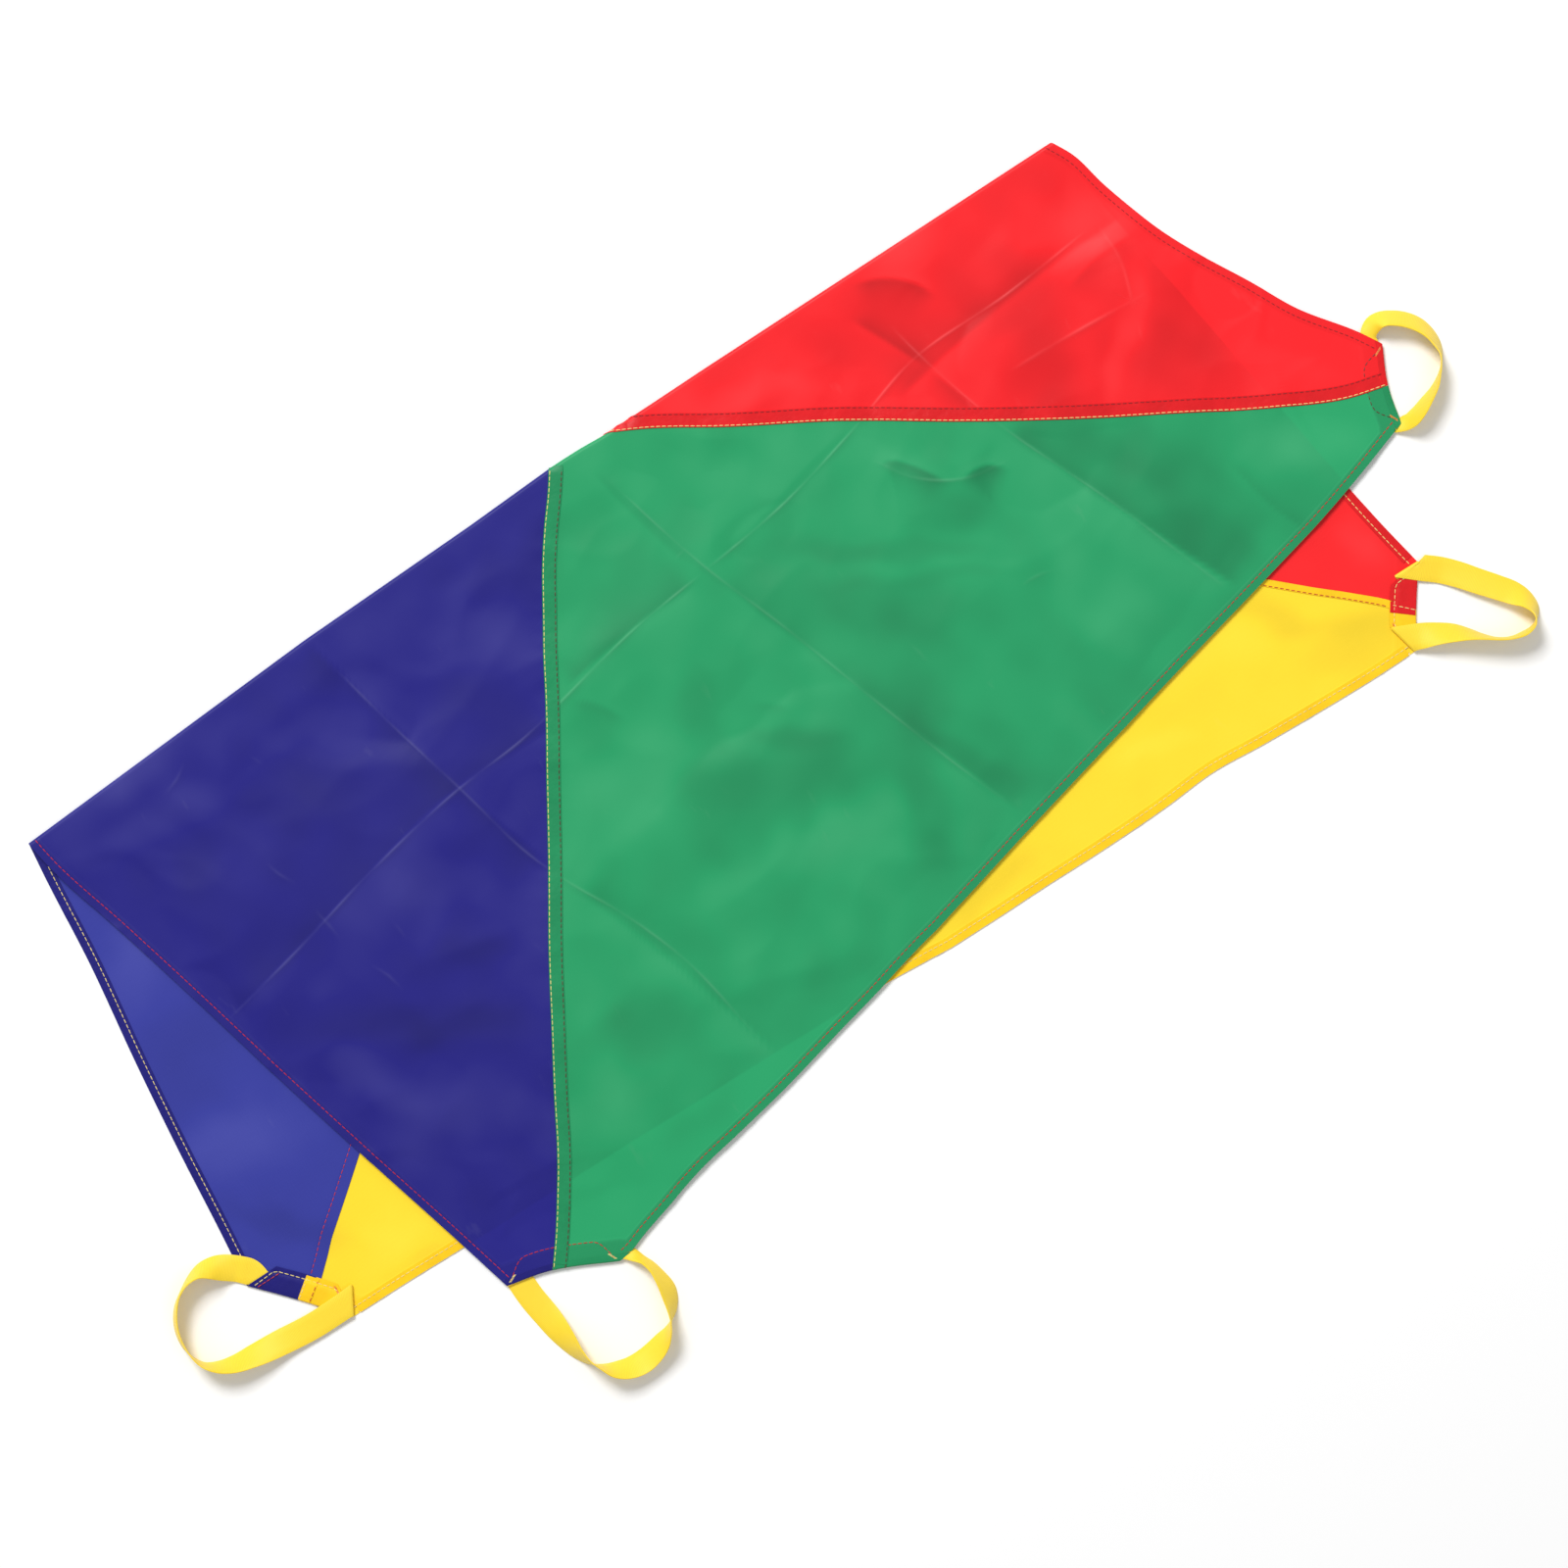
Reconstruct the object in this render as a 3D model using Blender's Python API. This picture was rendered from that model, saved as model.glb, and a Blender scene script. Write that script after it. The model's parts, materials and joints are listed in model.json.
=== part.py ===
"""Play parachute: four cloth panels sewn into a square canopy with a webbing handle at each corner.

It is folded in half and laid flat. Metres, +Z up. X runs along the fold and the cloth lies
towards -Y. The upper half shows the canopy's outer side and the lower half its inner side.
The origin is at the middle of the underside.
"""

from math import cos, exp, hypot, pi, radians, sin

import bmesh
import bpy
from mathutils import Vector

# Sizes of the canopy as it lies folded
FOLD_LENGTH = 0.934
UPPER_DEPTH = 0.512
LOWER_DEPTH = 0.472
FOLD_BOW = 0.0111
HINGE_HEIGHT = 0.0045
FOLD_EASE = 0.070

# Cloth and sewing
CLOTH = 0.0004
TURNED_LAYERS = 2
GAP = 0.0003
HEM_WIDTH = 0.0084
SEAM_WIDTH = 0.0115

# Webbing and the casings at the corners
WEBBING_WIDTH = 0.020
WEBBING_THICKNESS = 0.0012
STITCH_ROOM = 0.0021
FLAP_MARGIN = 0.0045
MOUTH_SLANT_SHARE = 0.6
LOOP_SIZE = 0.080
LOOP_LIFT = 0.0022
OPENING_LENGTH = 0.018

# Spacing of the points that carry the shapes
COLUMN_STEP = 0.038
ROW_STEP = 0.036
ROUTE_STEP = 0.008
PROBE = 0.0001
ROLL_ROWS = 3
CURVE_STEPS = 12
TURN_STEPS = 4
CUT_STEPS = 2
TIP_STEPS = 4
CASING_STATIONS = 3
SEARCH_STEPS = 30
SHARP_ANGLE = radians(40)

# Heights worked out from the layers
TURNED = TURNED_LAYERS * CLOTH
FOLDED_WEBBING = 2 * WEBBING_THICKNESS
FOLDED_WIDTH = WEBBING_WIDTH / 2
TURN_RADIUS = (FOLDED_WEBBING + 2 * GAP + CLOTH) / 2
TURN_REACH = TURN_RADIUS + CLOTH / 2
CHANNEL_DEPTH = TURN_REACH + FOLDED_WIDTH / 2
STITCH_DEPTH = TURN_REACH + FOLDED_WIDTH + STITCH_ROOM
FLAP_DEPTH = STITCH_DEPTH + FLAP_MARGIN
LOWER_LEVEL = CLOTH / 2
LOWER_TOP = CLOTH + GAP + TURNED
UPPER_LEVEL = max(LOWER_TOP + 2 * GAP + TURNED + CLOTH / 2, 2 * TURN_RADIUS + CLOTH / 2)
ROLL_RADIUS = HINGE_HEIGHT - LOWER_LEVEL
ROLL_ARC = ROLL_RADIUS * pi / 2
ROLL_TOP = HINGE_HEIGHT + ROLL_RADIUS
HINGE_OUT = FOLD_BOW + CLOTH / 2 + GAP + TURNED + GAP
UPSIDE_DOWN = radians(90)
ROWS = round(UPPER_DEPTH / ROW_STEP)
PANEL_COLUMNS = round(FOLD_LENGTH / 2 / COLUMN_STEP)

# How far the fold's ridge stands out along its length: share of the length, share of the bow
BOW_SHARES = (
    (0.0, 0.0), (0.276, 0.78), (0.439, 0.85), (0.519, 1.0), (0.532, 0.98),
    (0.548, 0.93), (0.567, 0.79), (0.617, 0.70), (0.663, 0.65), (1.0, 0.0),
)

# Outlines of the upper half: share of the fold's length, share of the half's depth
UPPER_RED_EDGE_SHARES = (
    (1.0, 0.0), (1.014, 0.068), (1.028, 0.164), (1.049, 0.26), (1.088, 0.402), (1.13, 0.521),
)
GREEN_EDGE_SHARES = (
    (1.107, 0.633), (1.042, 0.670), (0.945, 0.711), (0.759, 0.785), (0.592, 0.850),
    (0.390, 0.932), (0.298, 0.955), (0.232, 0.988), (0.203, 1.0),
)
UPPER_BLUE_EDGE_SHARES = (
    (0.0, 0.0), (0.022, 0.189), (0.041, 0.336), (0.079, 0.65), (0.105, 0.843), (0.117, 0.937),
)
BLUE_GREEN_SEAM_SHARES = (
    (0.519, -0.021), (0.487, 0.047), (0.459, 0.117), (0.407, 0.263), (0.337, 0.455),
    (0.285, 0.600), (0.234, 0.747), (0.200, 0.844), (0.154, 0.955),
)
RED_GREEN_SEAM_SHARES = (
    (0.569, -0.017), (0.601, 0.011), (0.654, 0.074), (0.735, 0.165), (0.813, 0.266),
    (0.893, 0.359), (0.975, 0.449), (1.028, 0.512), (1.086, 0.562), (1.115, 0.576),
)

# Outlines of the lower half, in the same shares with the lower half's depth
LOWER_BLUE_EDGE_SHARES = (
    (0.0, 0.0), (-0.015, 0.214), (-0.030, 0.387), (-0.040, 0.528), (-0.052, 0.72), (-0.057, 0.78),
)
YELLOW_EDGE_SHARES = (
    (-0.001, 0.917), (0.106, 0.925), (0.321, 0.943), (0.505, 0.960), (0.656, 0.975),
    (0.777, 0.982), (0.821, 0.972), (0.868, 0.987), (0.972, 0.999), (1.013, 1.0),
)
LOWER_RED_EDGE_SHARES = ((1.0, 0.0), (1.019, 0.381), (1.042, 0.727), (1.048, 0.805), (1.054, 0.886))
RED_YELLOW_SEAM_SHARES = ((0.531, 0.011), (0.749, 0.411), (0.950, 0.779), (0.997, 0.867), (1.032, 0.946))
BLUE_YELLOW_SEAM_SHARES = (
    (0.528, 0.011), (0.304, 0.358), (0.079, 0.705), (0.024, 0.792), (-0.004, 0.835), (-0.030, 0.845),
)

# Soft swells of the upper half: place along and across, two radii, turn in degrees, height
SWELL_SHARES = (
    (0.522, 0.528, 0.110, 0.085, 35, 0.90), (0.667, 0.448, 0.085, 0.090, -20, 0.70),
    (0.204, 0.300, 0.120, 0.140, 10, 0.55), (0.235, 0.560, 0.080, 0.120, 60, 0.50),
    (0.920, 0.260, 0.060, 0.110, 20, 0.75), (0.860, 0.540, 0.070, 0.090, -35, 0.60),
    (0.309, 0.800, 0.060, 0.070, 0, 0.40), (0.740, 0.250, 0.080, 0.080, 50, 0.65),
)
SWELL_HEIGHT = 0.0045

# Routes of the four handles in the frame of their own corner, as shares of LOOP_SIZE along the
# corner and out from it, then the webbing's tilt in degrees and its lift as a share of LOOP_LIFT
RED_GREEN_ROUTE_SHARES = (
    (-0.560, -0.045, 0, 0.3), (-0.600, 0.020, 0, 0.3), (-0.605, 0.100, 34, 0.0), (-0.584, 0.190, 48, 0.0),
    (-0.525, 0.294, 48, 0.0), (-0.421, 0.416, 58, 0.0), (-0.279, 0.487, 72, 0.0), (-0.118, 0.489, 79, 0.0),
    (0.035, 0.435, 86, 0.0), (0.169, 0.344, 102, 0.0), (0.291, 0.236, 112, 0.0), (0.395, 0.120, 140, 0.2),
)
BLUE_GREEN_ROUTE_SHARES = (
    (-0.520, 0.150, 0, 0.3), (-0.370, 0.270, 0, 0.1), (-0.250, 0.385, 2, 0.0), (-0.175, 0.491, 5, 0.0),
    (-0.079, 0.653, 20, 0.0), (0.024, 0.803, 50, 0.0), (0.154, 0.919, 86, 0.0), (0.298, 0.971, 118, 0.0),
    (0.431, 0.988, 138, 0.0), (0.566, 0.961, 145, 0.0), (0.689, 0.898, 135, 0.0), (0.791, 0.809, 117, 0.0),
    (0.871, 0.702, 95, 0.0), (0.924, 0.549, 76, 0.0), (0.938, 0.409, 58, 0.0), (0.918, 0.269, 50, 0.0),
    (0.870, 0.150, 34, 0.0), (0.800, 0.035, 0, 0.3), (0.735, -0.050, 0, 0.3),
)
RED_YELLOW_ROUTE_SHARES = (
    (-0.430, 0.140, 4, 0.3), (-0.350, 0.265, 12, 0.1), (-0.290, 0.400, 18, 0.0), (-0.236, 0.549, 15, 0.0),
    (-0.185, 0.731, 10, 0.0), (-0.124, 0.910, 30, 0.0), (-0.013, 1.058, 58, 0.0), (0.154, 1.084, 86, 0.0),
    (0.250, 0.935, 106, 0.0), (0.285, 0.760, 115, 0.0), (0.251, 0.589, 125, 0.0), (0.240, 0.420, 140, 0.0),
    (0.290, 0.270, 160, 0.1), (0.390, 0.150, 176, 0.3),
)
BLUE_YELLOW_ROUTE_SHARES = (
    (-0.700, -0.085, 0, 0.35), (-0.823, -0.110, 0, 0.3), (-0.930, -0.075, 0, 0.3), (-1.010, 0.010, 0, 0.3),
    (-1.055, 0.095, 34, 0.1), (-1.080, 0.210, 58, 0.0), (-1.085, 0.384, 70, 0.0), (-1.016, 0.581, 70, 0.0),
    (-0.876, 0.735, 72, 0.0), (-0.681, 0.806, 93, 0.0), (-0.550, 0.785, 112, 0.0),
    (-0.423, 0.734, 127, 0.0), (-0.228, 0.576, 143, 0.0), (-0.046, 0.403, 165, 0.0),
    (0.135, 0.255, 178, 0.1), (0.320, 0.172, 180, 0.3),
    (0.480, 0.130, 180, 0.3),
)

# Whether a handle is folded flat beside its first mouth, and beside its second
RED_GREEN_FOLDED = (False, True)
BLUE_GREEN_FOLDED = (True, False)
RED_YELLOW_FOLDED = (True, True)
BLUE_YELLOW_FOLDED = (False, True)

# Colour, roughness and metallic value of each material
LOOKS = {
    "red_cloth": ((0.84, 0.022, 0.030), 0.45),
    "green_cloth": ((0.022, 0.330, 0.125), 0.45),
    "blue_cloth": ((0.028, 0.026, 0.290), 0.45),
    "yellow_cloth": ((0.980, 0.690, 0.030), 0.45),
    "webbing": ((0.960, 0.720, 0.045), 0.70),
}


def material(name):
    """The named finish, made on first use."""
    found = bpy.data.materials.get(name)
    if found:
        return found
    colour, roughness = LOOKS[name]
    made = bpy.data.materials.new(name)
    made.use_nodes = True
    shader = made.node_tree.nodes["Principled BSDF"]
    shader.inputs["Base Color"].default_value = (*colour, 1)
    shader.inputs["Roughness"].default_value = roughness
    shader.inputs["Metallic"].default_value = 0
    return made


def smooth_line(points):
    """Points along a smooth curve through the given ones."""
    line = []
    for k in range(len(points) - 1):
        before = points[max(k - 1, 0)]
        start, end = points[k], points[k + 1]
        after = points[min(k + 2, len(points) - 1)]
        for step in range(CURVE_STEPS):
            t = step / CURVE_STEPS
            line.append(
                (
                    start * 2
                    + (end - before) * t
                    + (before * 2 - start * 5 + end * 4 - after) * t**2
                    + (start * 3 - before - end * 3 + after) * t**3
                )
                / 2
            )
    return line + [points[-1]]


def lengths(line):
    """Distance along a line to each of its points."""
    along = [0]
    for start, end in zip(line, line[1:]):
        along.append(along[-1] + hypot(end[0] - start[0], end[1] - start[1]))
    return along


def at_length(line, distance):
    """The point at a distance along a line."""
    along = lengths(line)
    for k in range(1, len(line)):
        if along[k] >= distance:
            share = (distance - along[k - 1]) / (along[k] - along[k - 1])
            return line[k - 1].lerp(line[k], share)
    return line[-1].copy()


def at_share(line, share):
    """The point at a share of a line's length."""
    return at_length(line, lengths(line)[-1] * share)


def divided(line, step):
    """The same line with evenly spaced points about one step apart."""
    count = max(1, round(lengths(line)[-1] / step))
    return [at_share(line, k / count) for k in range(count + 1)]


def trimmed(line, start, stop):
    """The line with a length taken off each end."""
    along = lengths(line)
    inner = [p for p, length in zip(line, along) if start < length < along[-1] - stop]
    return [at_length(line, start), *inner, at_length(line, along[-1] - stop)]


def shifted(line, distance):
    """A line moved sideways, to its left where the distance is positive."""
    moved = []
    for k, point in enumerate(line):
        way = line[min(k + 1, len(line) - 1)] - line[max(k - 1, 0)]
        moved.append(point + Vector((-way.y, way.x)).normalized() * distance)
    return moved


def ridge(x):
    """How far the fold's ridge stands out at a place along it."""
    share = min(max(x / FOLD_LENGTH, 0), 1)
    for (start, low), (end, high) in zip(BOW_SHARES, BOW_SHARES[1:]):
        if share <= end:
            return FOLD_BOW * (low + (high - low) * (share - start) / (end - start))
    return 0


def swell(x, y):
    """Height of the upper half's soft swells at a place."""
    height = 0
    for along, across, long_radius, short_radius, turn, share in SWELL_SHARES:
        dx = (x - along * FOLD_LENGTH) / FOLD_LENGTH
        dy = (y + across * UPPER_DEPTH) / FOLD_LENGTH
        a = dx * cos(radians(turn)) + dy * sin(radians(turn))
        b = dy * cos(radians(turn)) - dx * sin(radians(turn))
        height += share * SWELL_HEIGHT * exp(-((a / long_radius) ** 2) - (b / short_radius) ** 2)
    return height


def unrolled(x, y):
    """A place seen from above as a place on the flat cloth, where the fold's roll is laid out."""
    return Vector((x, min(y, ridge(x) - ROLL_RADIUS) - ROLL_ARC + ROLL_RADIUS))


def lay(half, place):
    """Where a place on the flat cloth comes to lie: the middle of the cloth's thickness."""
    top = ridge(place.x)
    beyond = top - place.y - ROLL_ARC
    rise = 1 if half == "upper" else -1
    if beyond < 0:
        angle = -beyond / ROLL_RADIUS
        out = top - ROLL_RADIUS + ROLL_RADIUS * sin(angle)
        return Vector((place.x, out, HINGE_HEIGHT + rise * ROLL_RADIUS * cos(angle)))
    y = top - ROLL_RADIUS - beyond
    if half == "lower":
        return Vector((place.x, y, LOWER_LEVEL))
    ease = (1 + cos(pi * min(beyond / FOLD_EASE, 1))) / 2
    height = UPPER_LEVEL + (ROLL_TOP - UPPER_LEVEL) * ease + swell(place.x, y) * (1 - ease)
    return Vector((place.x, y, height))


def facing(half, place):
    """Direction square to the laid cloth, up where it lies flat."""
    right = Vector((PROBE, 0))
    back = Vector((0, PROBE))
    across = lay(half, place + right) - lay(half, place - right)
    inwards = lay(half, place + back) - lay(half, place - back)
    return across.cross(inwards).normalized()


def layer(half, place, low, high):
    """The two skins of a layer over a place of the cloth, at heights above its middle."""
    point = lay(half, place)
    normal = facing(half, place)
    return point + normal * low, point + normal * high


def solid(name, rows, finish):
    """A closed solid between two skins: each row lists pairs of points, one on each skin."""
    mesh = bmesh.new()
    near = [[mesh.verts.new(pair[0]) for pair in row] for row in rows]
    far = [[mesh.verts.new(pair[1]) for pair in row] for row in rows]
    last_row = len(rows) - 1
    last = len(rows[0]) - 1
    for i in range(last_row):
        for j in range(last):
            mesh.faces.new((near[i][j], near[i][j + 1], near[i + 1][j + 1], near[i + 1][j]))
            mesh.faces.new((far[i][j], far[i + 1][j], far[i + 1][j + 1], far[i][j + 1]))
        for j in (0, last):
            mesh.faces.new((near[i][j], near[i + 1][j], far[i + 1][j], far[i][j]))
    for i in (0, last_row):
        for j in range(last):
            mesh.faces.new((near[i][j], far[i][j], far[i][j + 1], near[i][j + 1]))
    bmesh.ops.triangulate(mesh, faces=mesh.faces[:])
    bmesh.ops.recalc_face_normals(mesh, faces=mesh.faces[:])
    data = bpy.data.meshes.new(name)
    mesh.to_mesh(data)
    mesh.free()
    data.shade_smooth()
    data.set_sharp_from_angle(angle=SHARP_ANGLE)
    data.materials.append(material(finish))
    made = bpy.data.objects.new(name, data)
    bpy.context.collection.objects.link(made)
    return made


def net(top, bottom, left, right, rolled, rows=ROWS):
    """Places on the flat cloth between four border lines, in columns from the top line."""
    count = len(top) - 1
    columns = []
    for k in range(count + 1):
        u = k / count

        def place(v):
            """The place at a share of this column."""
            sides = at_share(left, v) * (1 - u) + at_share(right, v) * u
            ends = top[k] * (1 - v) + bottom[k] * v
            upper = top[0] * (1 - u) + top[-1] * u
            lower = bottom[0] * (1 - u) + bottom[-1] * u
            return sides + ends - upper * (1 - v) - lower * v

        columns.append(column(place, rolled, rows))
    return columns


def column(place, rolled, rows=ROWS):
    """Places down one column: even steps over the fold's roll, then even steps to the end."""
    steps = roll_steps(place) if rolled else [0]
    steps += [steps[-1] + (1 - steps[-1]) * k / rows for k in range(1, rows + 1)]
    return [place(share) for share in steps]


def roll_steps(place):
    """Shares of a column at which it crosses the fold's roll in even steps."""
    start = ridge(place(0).x) - place(0).y
    end = max(ROLL_ARC, start + GAP * ROLL_ROWS)
    steps = [0]
    for k in range(1, ROLL_ROWS + 1):
        wanted = start + (end - start) * k / ROLL_ROWS
        low, high = 0, 1
        for _ in range(SEARCH_STEPS):
            middle = (low + high) / 2
            here = place(middle)
            if ridge(here.x) - here.y < wanted:
                low = middle
            else:
                high = middle
        steps.append(high)
    return steps


def seam_net(seam, bottom_end, right, columns):
    """A panel's net with its felled seam as the first strip of columns, and a cut from the seam's end."""
    way = (bottom_end - seam[-1]).normalized()
    beside = shifted(seam, SEAM_WIDTH)
    square = (beside[-1] - seam[-1]).normalized()
    foot = seam[-1] + way * (SEAM_WIDTH / way.dot(square))
    normal = Vector((-way.y, way.x))
    if (seam[0] - foot).dot(normal) < 0:
        normal = -normal
    beside = ended(beside, lambda place: (place - foot).dot(normal))
    for _ in range(2):
        beside = ended(beside[::-1], below_ridge)[::-1]
    first = column(lambda share: at_share(seam, share), True)
    return [first, *columns(beside, foot, right)]


def below_ridge(place):
    """How far a place on the flat cloth lies inside the fold's ridge."""
    return ridge(place.x) - GAP / 2 - place.y


def sheet(name, half, columns, finish):
    """One layer of cloth over a net of places."""
    rows = [[layer(half, place, -CLOTH / 2, CLOTH / 2) for place in column] for column in columns]
    return solid(name, rows, finish)


def strip(name, half, edge, inner, side, finish):
    """A turned edge or felled seam: two more layers on one side of the cloth, between two lines."""
    low = side * (CLOTH / 2 + GAP)
    high = side * (CLOTH / 2 + GAP + TURNED)
    rows = [[layer(half, place, low, high) for place in line] for line in (edge, inner)]
    return solid(name, rows, finish)


def shares_line(shares, depth):
    """A smooth line on the flat cloth through places given as shares."""
    places = []
    for along, across in shares:
        x = along * FOLD_LENGTH
        if across > 0:
            places.append(unrolled(x, -across * depth))
        else:
            places.append(Vector((x, ridge(x) - GAP / 2)))
    return smooth_line(places)


def ended(line, depth_at):
    """The line cut or lengthened at its end to stop where a depth comes to nothing."""
    kept = list(line)
    while len(kept) > 2 and depth_at(kept[-2]) < 0:
        kept.pop()
    before, last = depth_at(kept[-2]), depth_at(kept[-1])
    return [*kept[:-1], kept[-2].lerp(kept[-1], before / (before - last))]


def straight(start, end, count):
    """Evenly spaced places on a straight line."""
    return [start.lerp(end, k / count) for k in range(count + 1)]


class Corner:
    """A cut corner: its two mouths, where the seam meets it, and its own directions."""

    def __init__(self, half, first_mouth, border, second_mouth, seam):
        self.half = half
        self.mouths = (first_mouth, second_mouth)
        self.border = border
        span = second_mouth - first_mouth
        self.middle = (first_mouth + second_mouth) / 2
        self.along = span.normalized()
        self.inward = Vector((-self.along.y, self.along.x))
        if (at_share(seam, 0) - self.middle).dot(self.inward) < 0:
            self.inward = -self.inward
        self.reach = span.length / 2
        way = at_length(seam, lengths(seam)[-1] - FLAP_DEPTH) - border
        self.border_slant = way.dot(self.along) / way.dot(self.inward)
        self.side = -1 if half == "upper" else 1

    def level(self):
        return UPPER_LEVEL if self.half == "upper" else LOWER_LEVEL

    def channel_height(self):
        return self.level() + self.side * TURN_RADIUS

    def hinge_height(self):
        """Height at which the handle bends at the cut, just over the folded webbing."""
        return self.channel_height() + FOLDED_WEBBING / 2 + GAP

    def cut_depth(self, along):
        """How far the cut lies inside the straight line between its mouths."""
        border = self.border - self.middle
        place = border.dot(self.along)
        mouth = -self.reach if along < place else self.reach
        return border.dot(self.inward) * (along - mouth) / (place - mouth)

    def back(self, line):
        """The line without its end, where the cloth is turned over at the cut."""
        end = line[-1]
        return ended(line, lambda place: (place - end).dot(self.inward) - TURN_REACH - GAP)

    def at(self, along, inward, height):
        """A place in the corner's own directions, measured from the middle of its cut."""
        flat = self.middle + self.along * along + self.inward * inward
        return Vector((flat.x, flat.y + ROLL_ARC - ROLL_RADIUS, height))


def casing_profile():
    """Middle of the turned flap, from the cut inwards: depth from the cut and height over the cloth."""
    line = []
    for step in range(TURN_STEPS + 1):
        angle = pi * step / TURN_STEPS
        line.append((TURN_REACH - TURN_RADIUS * sin(angle), TURN_RADIUS * (1 - cos(angle))))
    line.append((TURN_REACH + FOLDED_WIDTH + 2 * GAP, 2 * TURN_RADIUS))
    line.append((STITCH_DEPTH, CLOTH + GAP))
    line.append((FLAP_DEPTH, CLOTH + GAP))
    return line


def casing(name, corner, mouth, finish):
    """Half of a corner's casing: the cloth turned over its cut and stitched down inside."""
    profile = casing_profile()
    sign = 1 if mouth == 0 else -1
    first = -sign * corner.reach
    last = (corner.border - corner.middle).dot(corner.along) - sign * GAP / 2
    first_slant = sign * MOUTH_SLANT_SHARE
    rows = []
    for station in range(CASING_STATIONS):
        share = station / (CASING_STATIONS - 1)
        start = first + (last - first) * share
        slant = first_slant + (corner.border_slant - first_slant) * share
        row = []
        for k, (depth, height) in enumerate(profile):
            before = profile[max(k - 1, 0)]
            after = profile[min(k + 1, len(profile) - 1)]
            way = Vector((after[0] - before[0], after[1] - before[1])).normalized()
            pair = []
            for offset in (-CLOTH / 2, CLOTH / 2):
                d = depth - way.y * offset
                h = height + way.x * offset
                along = start + slant * d
                pair.append(corner.at(along, corner.cut_depth(along) + d, corner.level() + corner.side * h))
            row.append(tuple(pair))
        rows.append(row)
    return solid(name, rows, finish)


def handle_end(corner, sign, folded):
    """The two places of a handle next to a mouth: straight out of it, or folded flat beside it."""
    lift = corner.channel_height() - FOLDED_WEBBING / 2
    start = corner.reach + 2 * GAP
    if folded:
        side = start + FOLDED_WIDTH / 2
        places = ((side, TURN_REACH + FOLDED_WIDTH), (side, -2 * GAP))
    else:
        places = ((start, CHANNEL_DEPTH), (start + ROUTE_STEP, CHANNEL_DEPTH))
    return [Vector((sign * along, -depth, 0, lift)) for along, depth in places]


def handle_line(corner, route, folded):
    """A handle's middle line: along the corner, out from it, tilt and lift at each place."""
    stops = handle_end(corner, -1, folded[0])
    for along, out, tilt, lift in route:
        stops.append(Vector((along * LOOP_SIZE, out * LOOP_SIZE, radians(tilt), lift * LOOP_LIFT)))
    last = handle_end(corner, 1, folded[1])[::-1]
    if stops[-1].z > UPSIDE_DOWN:
        last = [stop + Vector((0, 0, pi, 0)) for stop in last]
    stops += last
    line = smooth_line(stops)
    for k, place in enumerate(line[:-1]):
        start, end = stops[k // CURVE_STEPS], stops[k // CURVE_STEPS + 1]
        turned = start.lerp(end, k % CURVE_STEPS / CURVE_STEPS)
        place.z, place.w = turned.z, turned.w
    return line


def split_line(line):
    """The stretches of a handle's line before, outside and after the corner's cut."""
    first = next(k for k, place in enumerate(line) if place.y > 0)
    last = next(k for k in range(len(line) - 1, 0, -1) if line[k].y > 0)
    enters = [line[k].lerp(line[k + 1], line[k].y / (line[k].y - line[k + 1].y)) for k in (first - 1, last)]
    before = [*line[:first], enters[0]]
    loop = [enters[0], *line[first: last + 1], enters[1]]
    return before, loop, [enters[1], *line[last + 1:]]


def section(corner, place, across, opened):
    """The webbing's cross-section at a place: two edges, each with a point on both skins."""
    width = FOLDED_WIDTH + (WEBBING_WIDTH - FOLDED_WIDTH) * opened
    thickness = FOLDED_WEBBING + (WEBBING_THICKNESS - FOLDED_WEBBING) * opened
    tilt, lift = place.z, place.w
    height = width / 2 * abs(sin(tilt)) + thickness / 2 * abs(cos(tilt)) + lift
    edges = []
    for edge in (-width / 2, width / 2):
        pair = []
        for skin in (-thickness / 2, thickness / 2):
            sideways = edge * cos(tilt) - skin * sin(tilt)
            up = edge * sin(tilt) + skin * cos(tilt)
            inward = -place.y - across.y * sideways
            pair.append(corner.at(place.x + across.x * sideways, inward, height + up))
        edges.append(tuple(pair))
    return edges


def square_to(line, k):
    """Direction across a line at one of its places, to its right."""
    way = line[min(k + 1, len(line) - 1)] - line[max(k - 1, 0)]
    return Vector((way.y, -way.x)).normalized()


def handle(name, corner, route, folded):
    """A loop of webbing that stands and twists as it lies on the floor, outside the corner's cut."""
    _, loop, _ = split_line(handle_line(corner, route, folded))
    loop[0].y = loop[-1].y = GAP / 2
    line = divided(loop, ROUTE_STEP)
    along = lengths(line)
    sections = []
    for k, place in enumerate(line):
        across = square_to(line, k)
        if k in (0, len(line) - 1):
            across = Vector((1 if k == 0 else -1, 0))
        opened = min(min(along[k], along[-1] - along[k]) / OPENING_LENGTH, 1)
        sections.append(section(corner, place, across, opened))
    return solid(name, list(zip(*sections)), "webbing")


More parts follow.
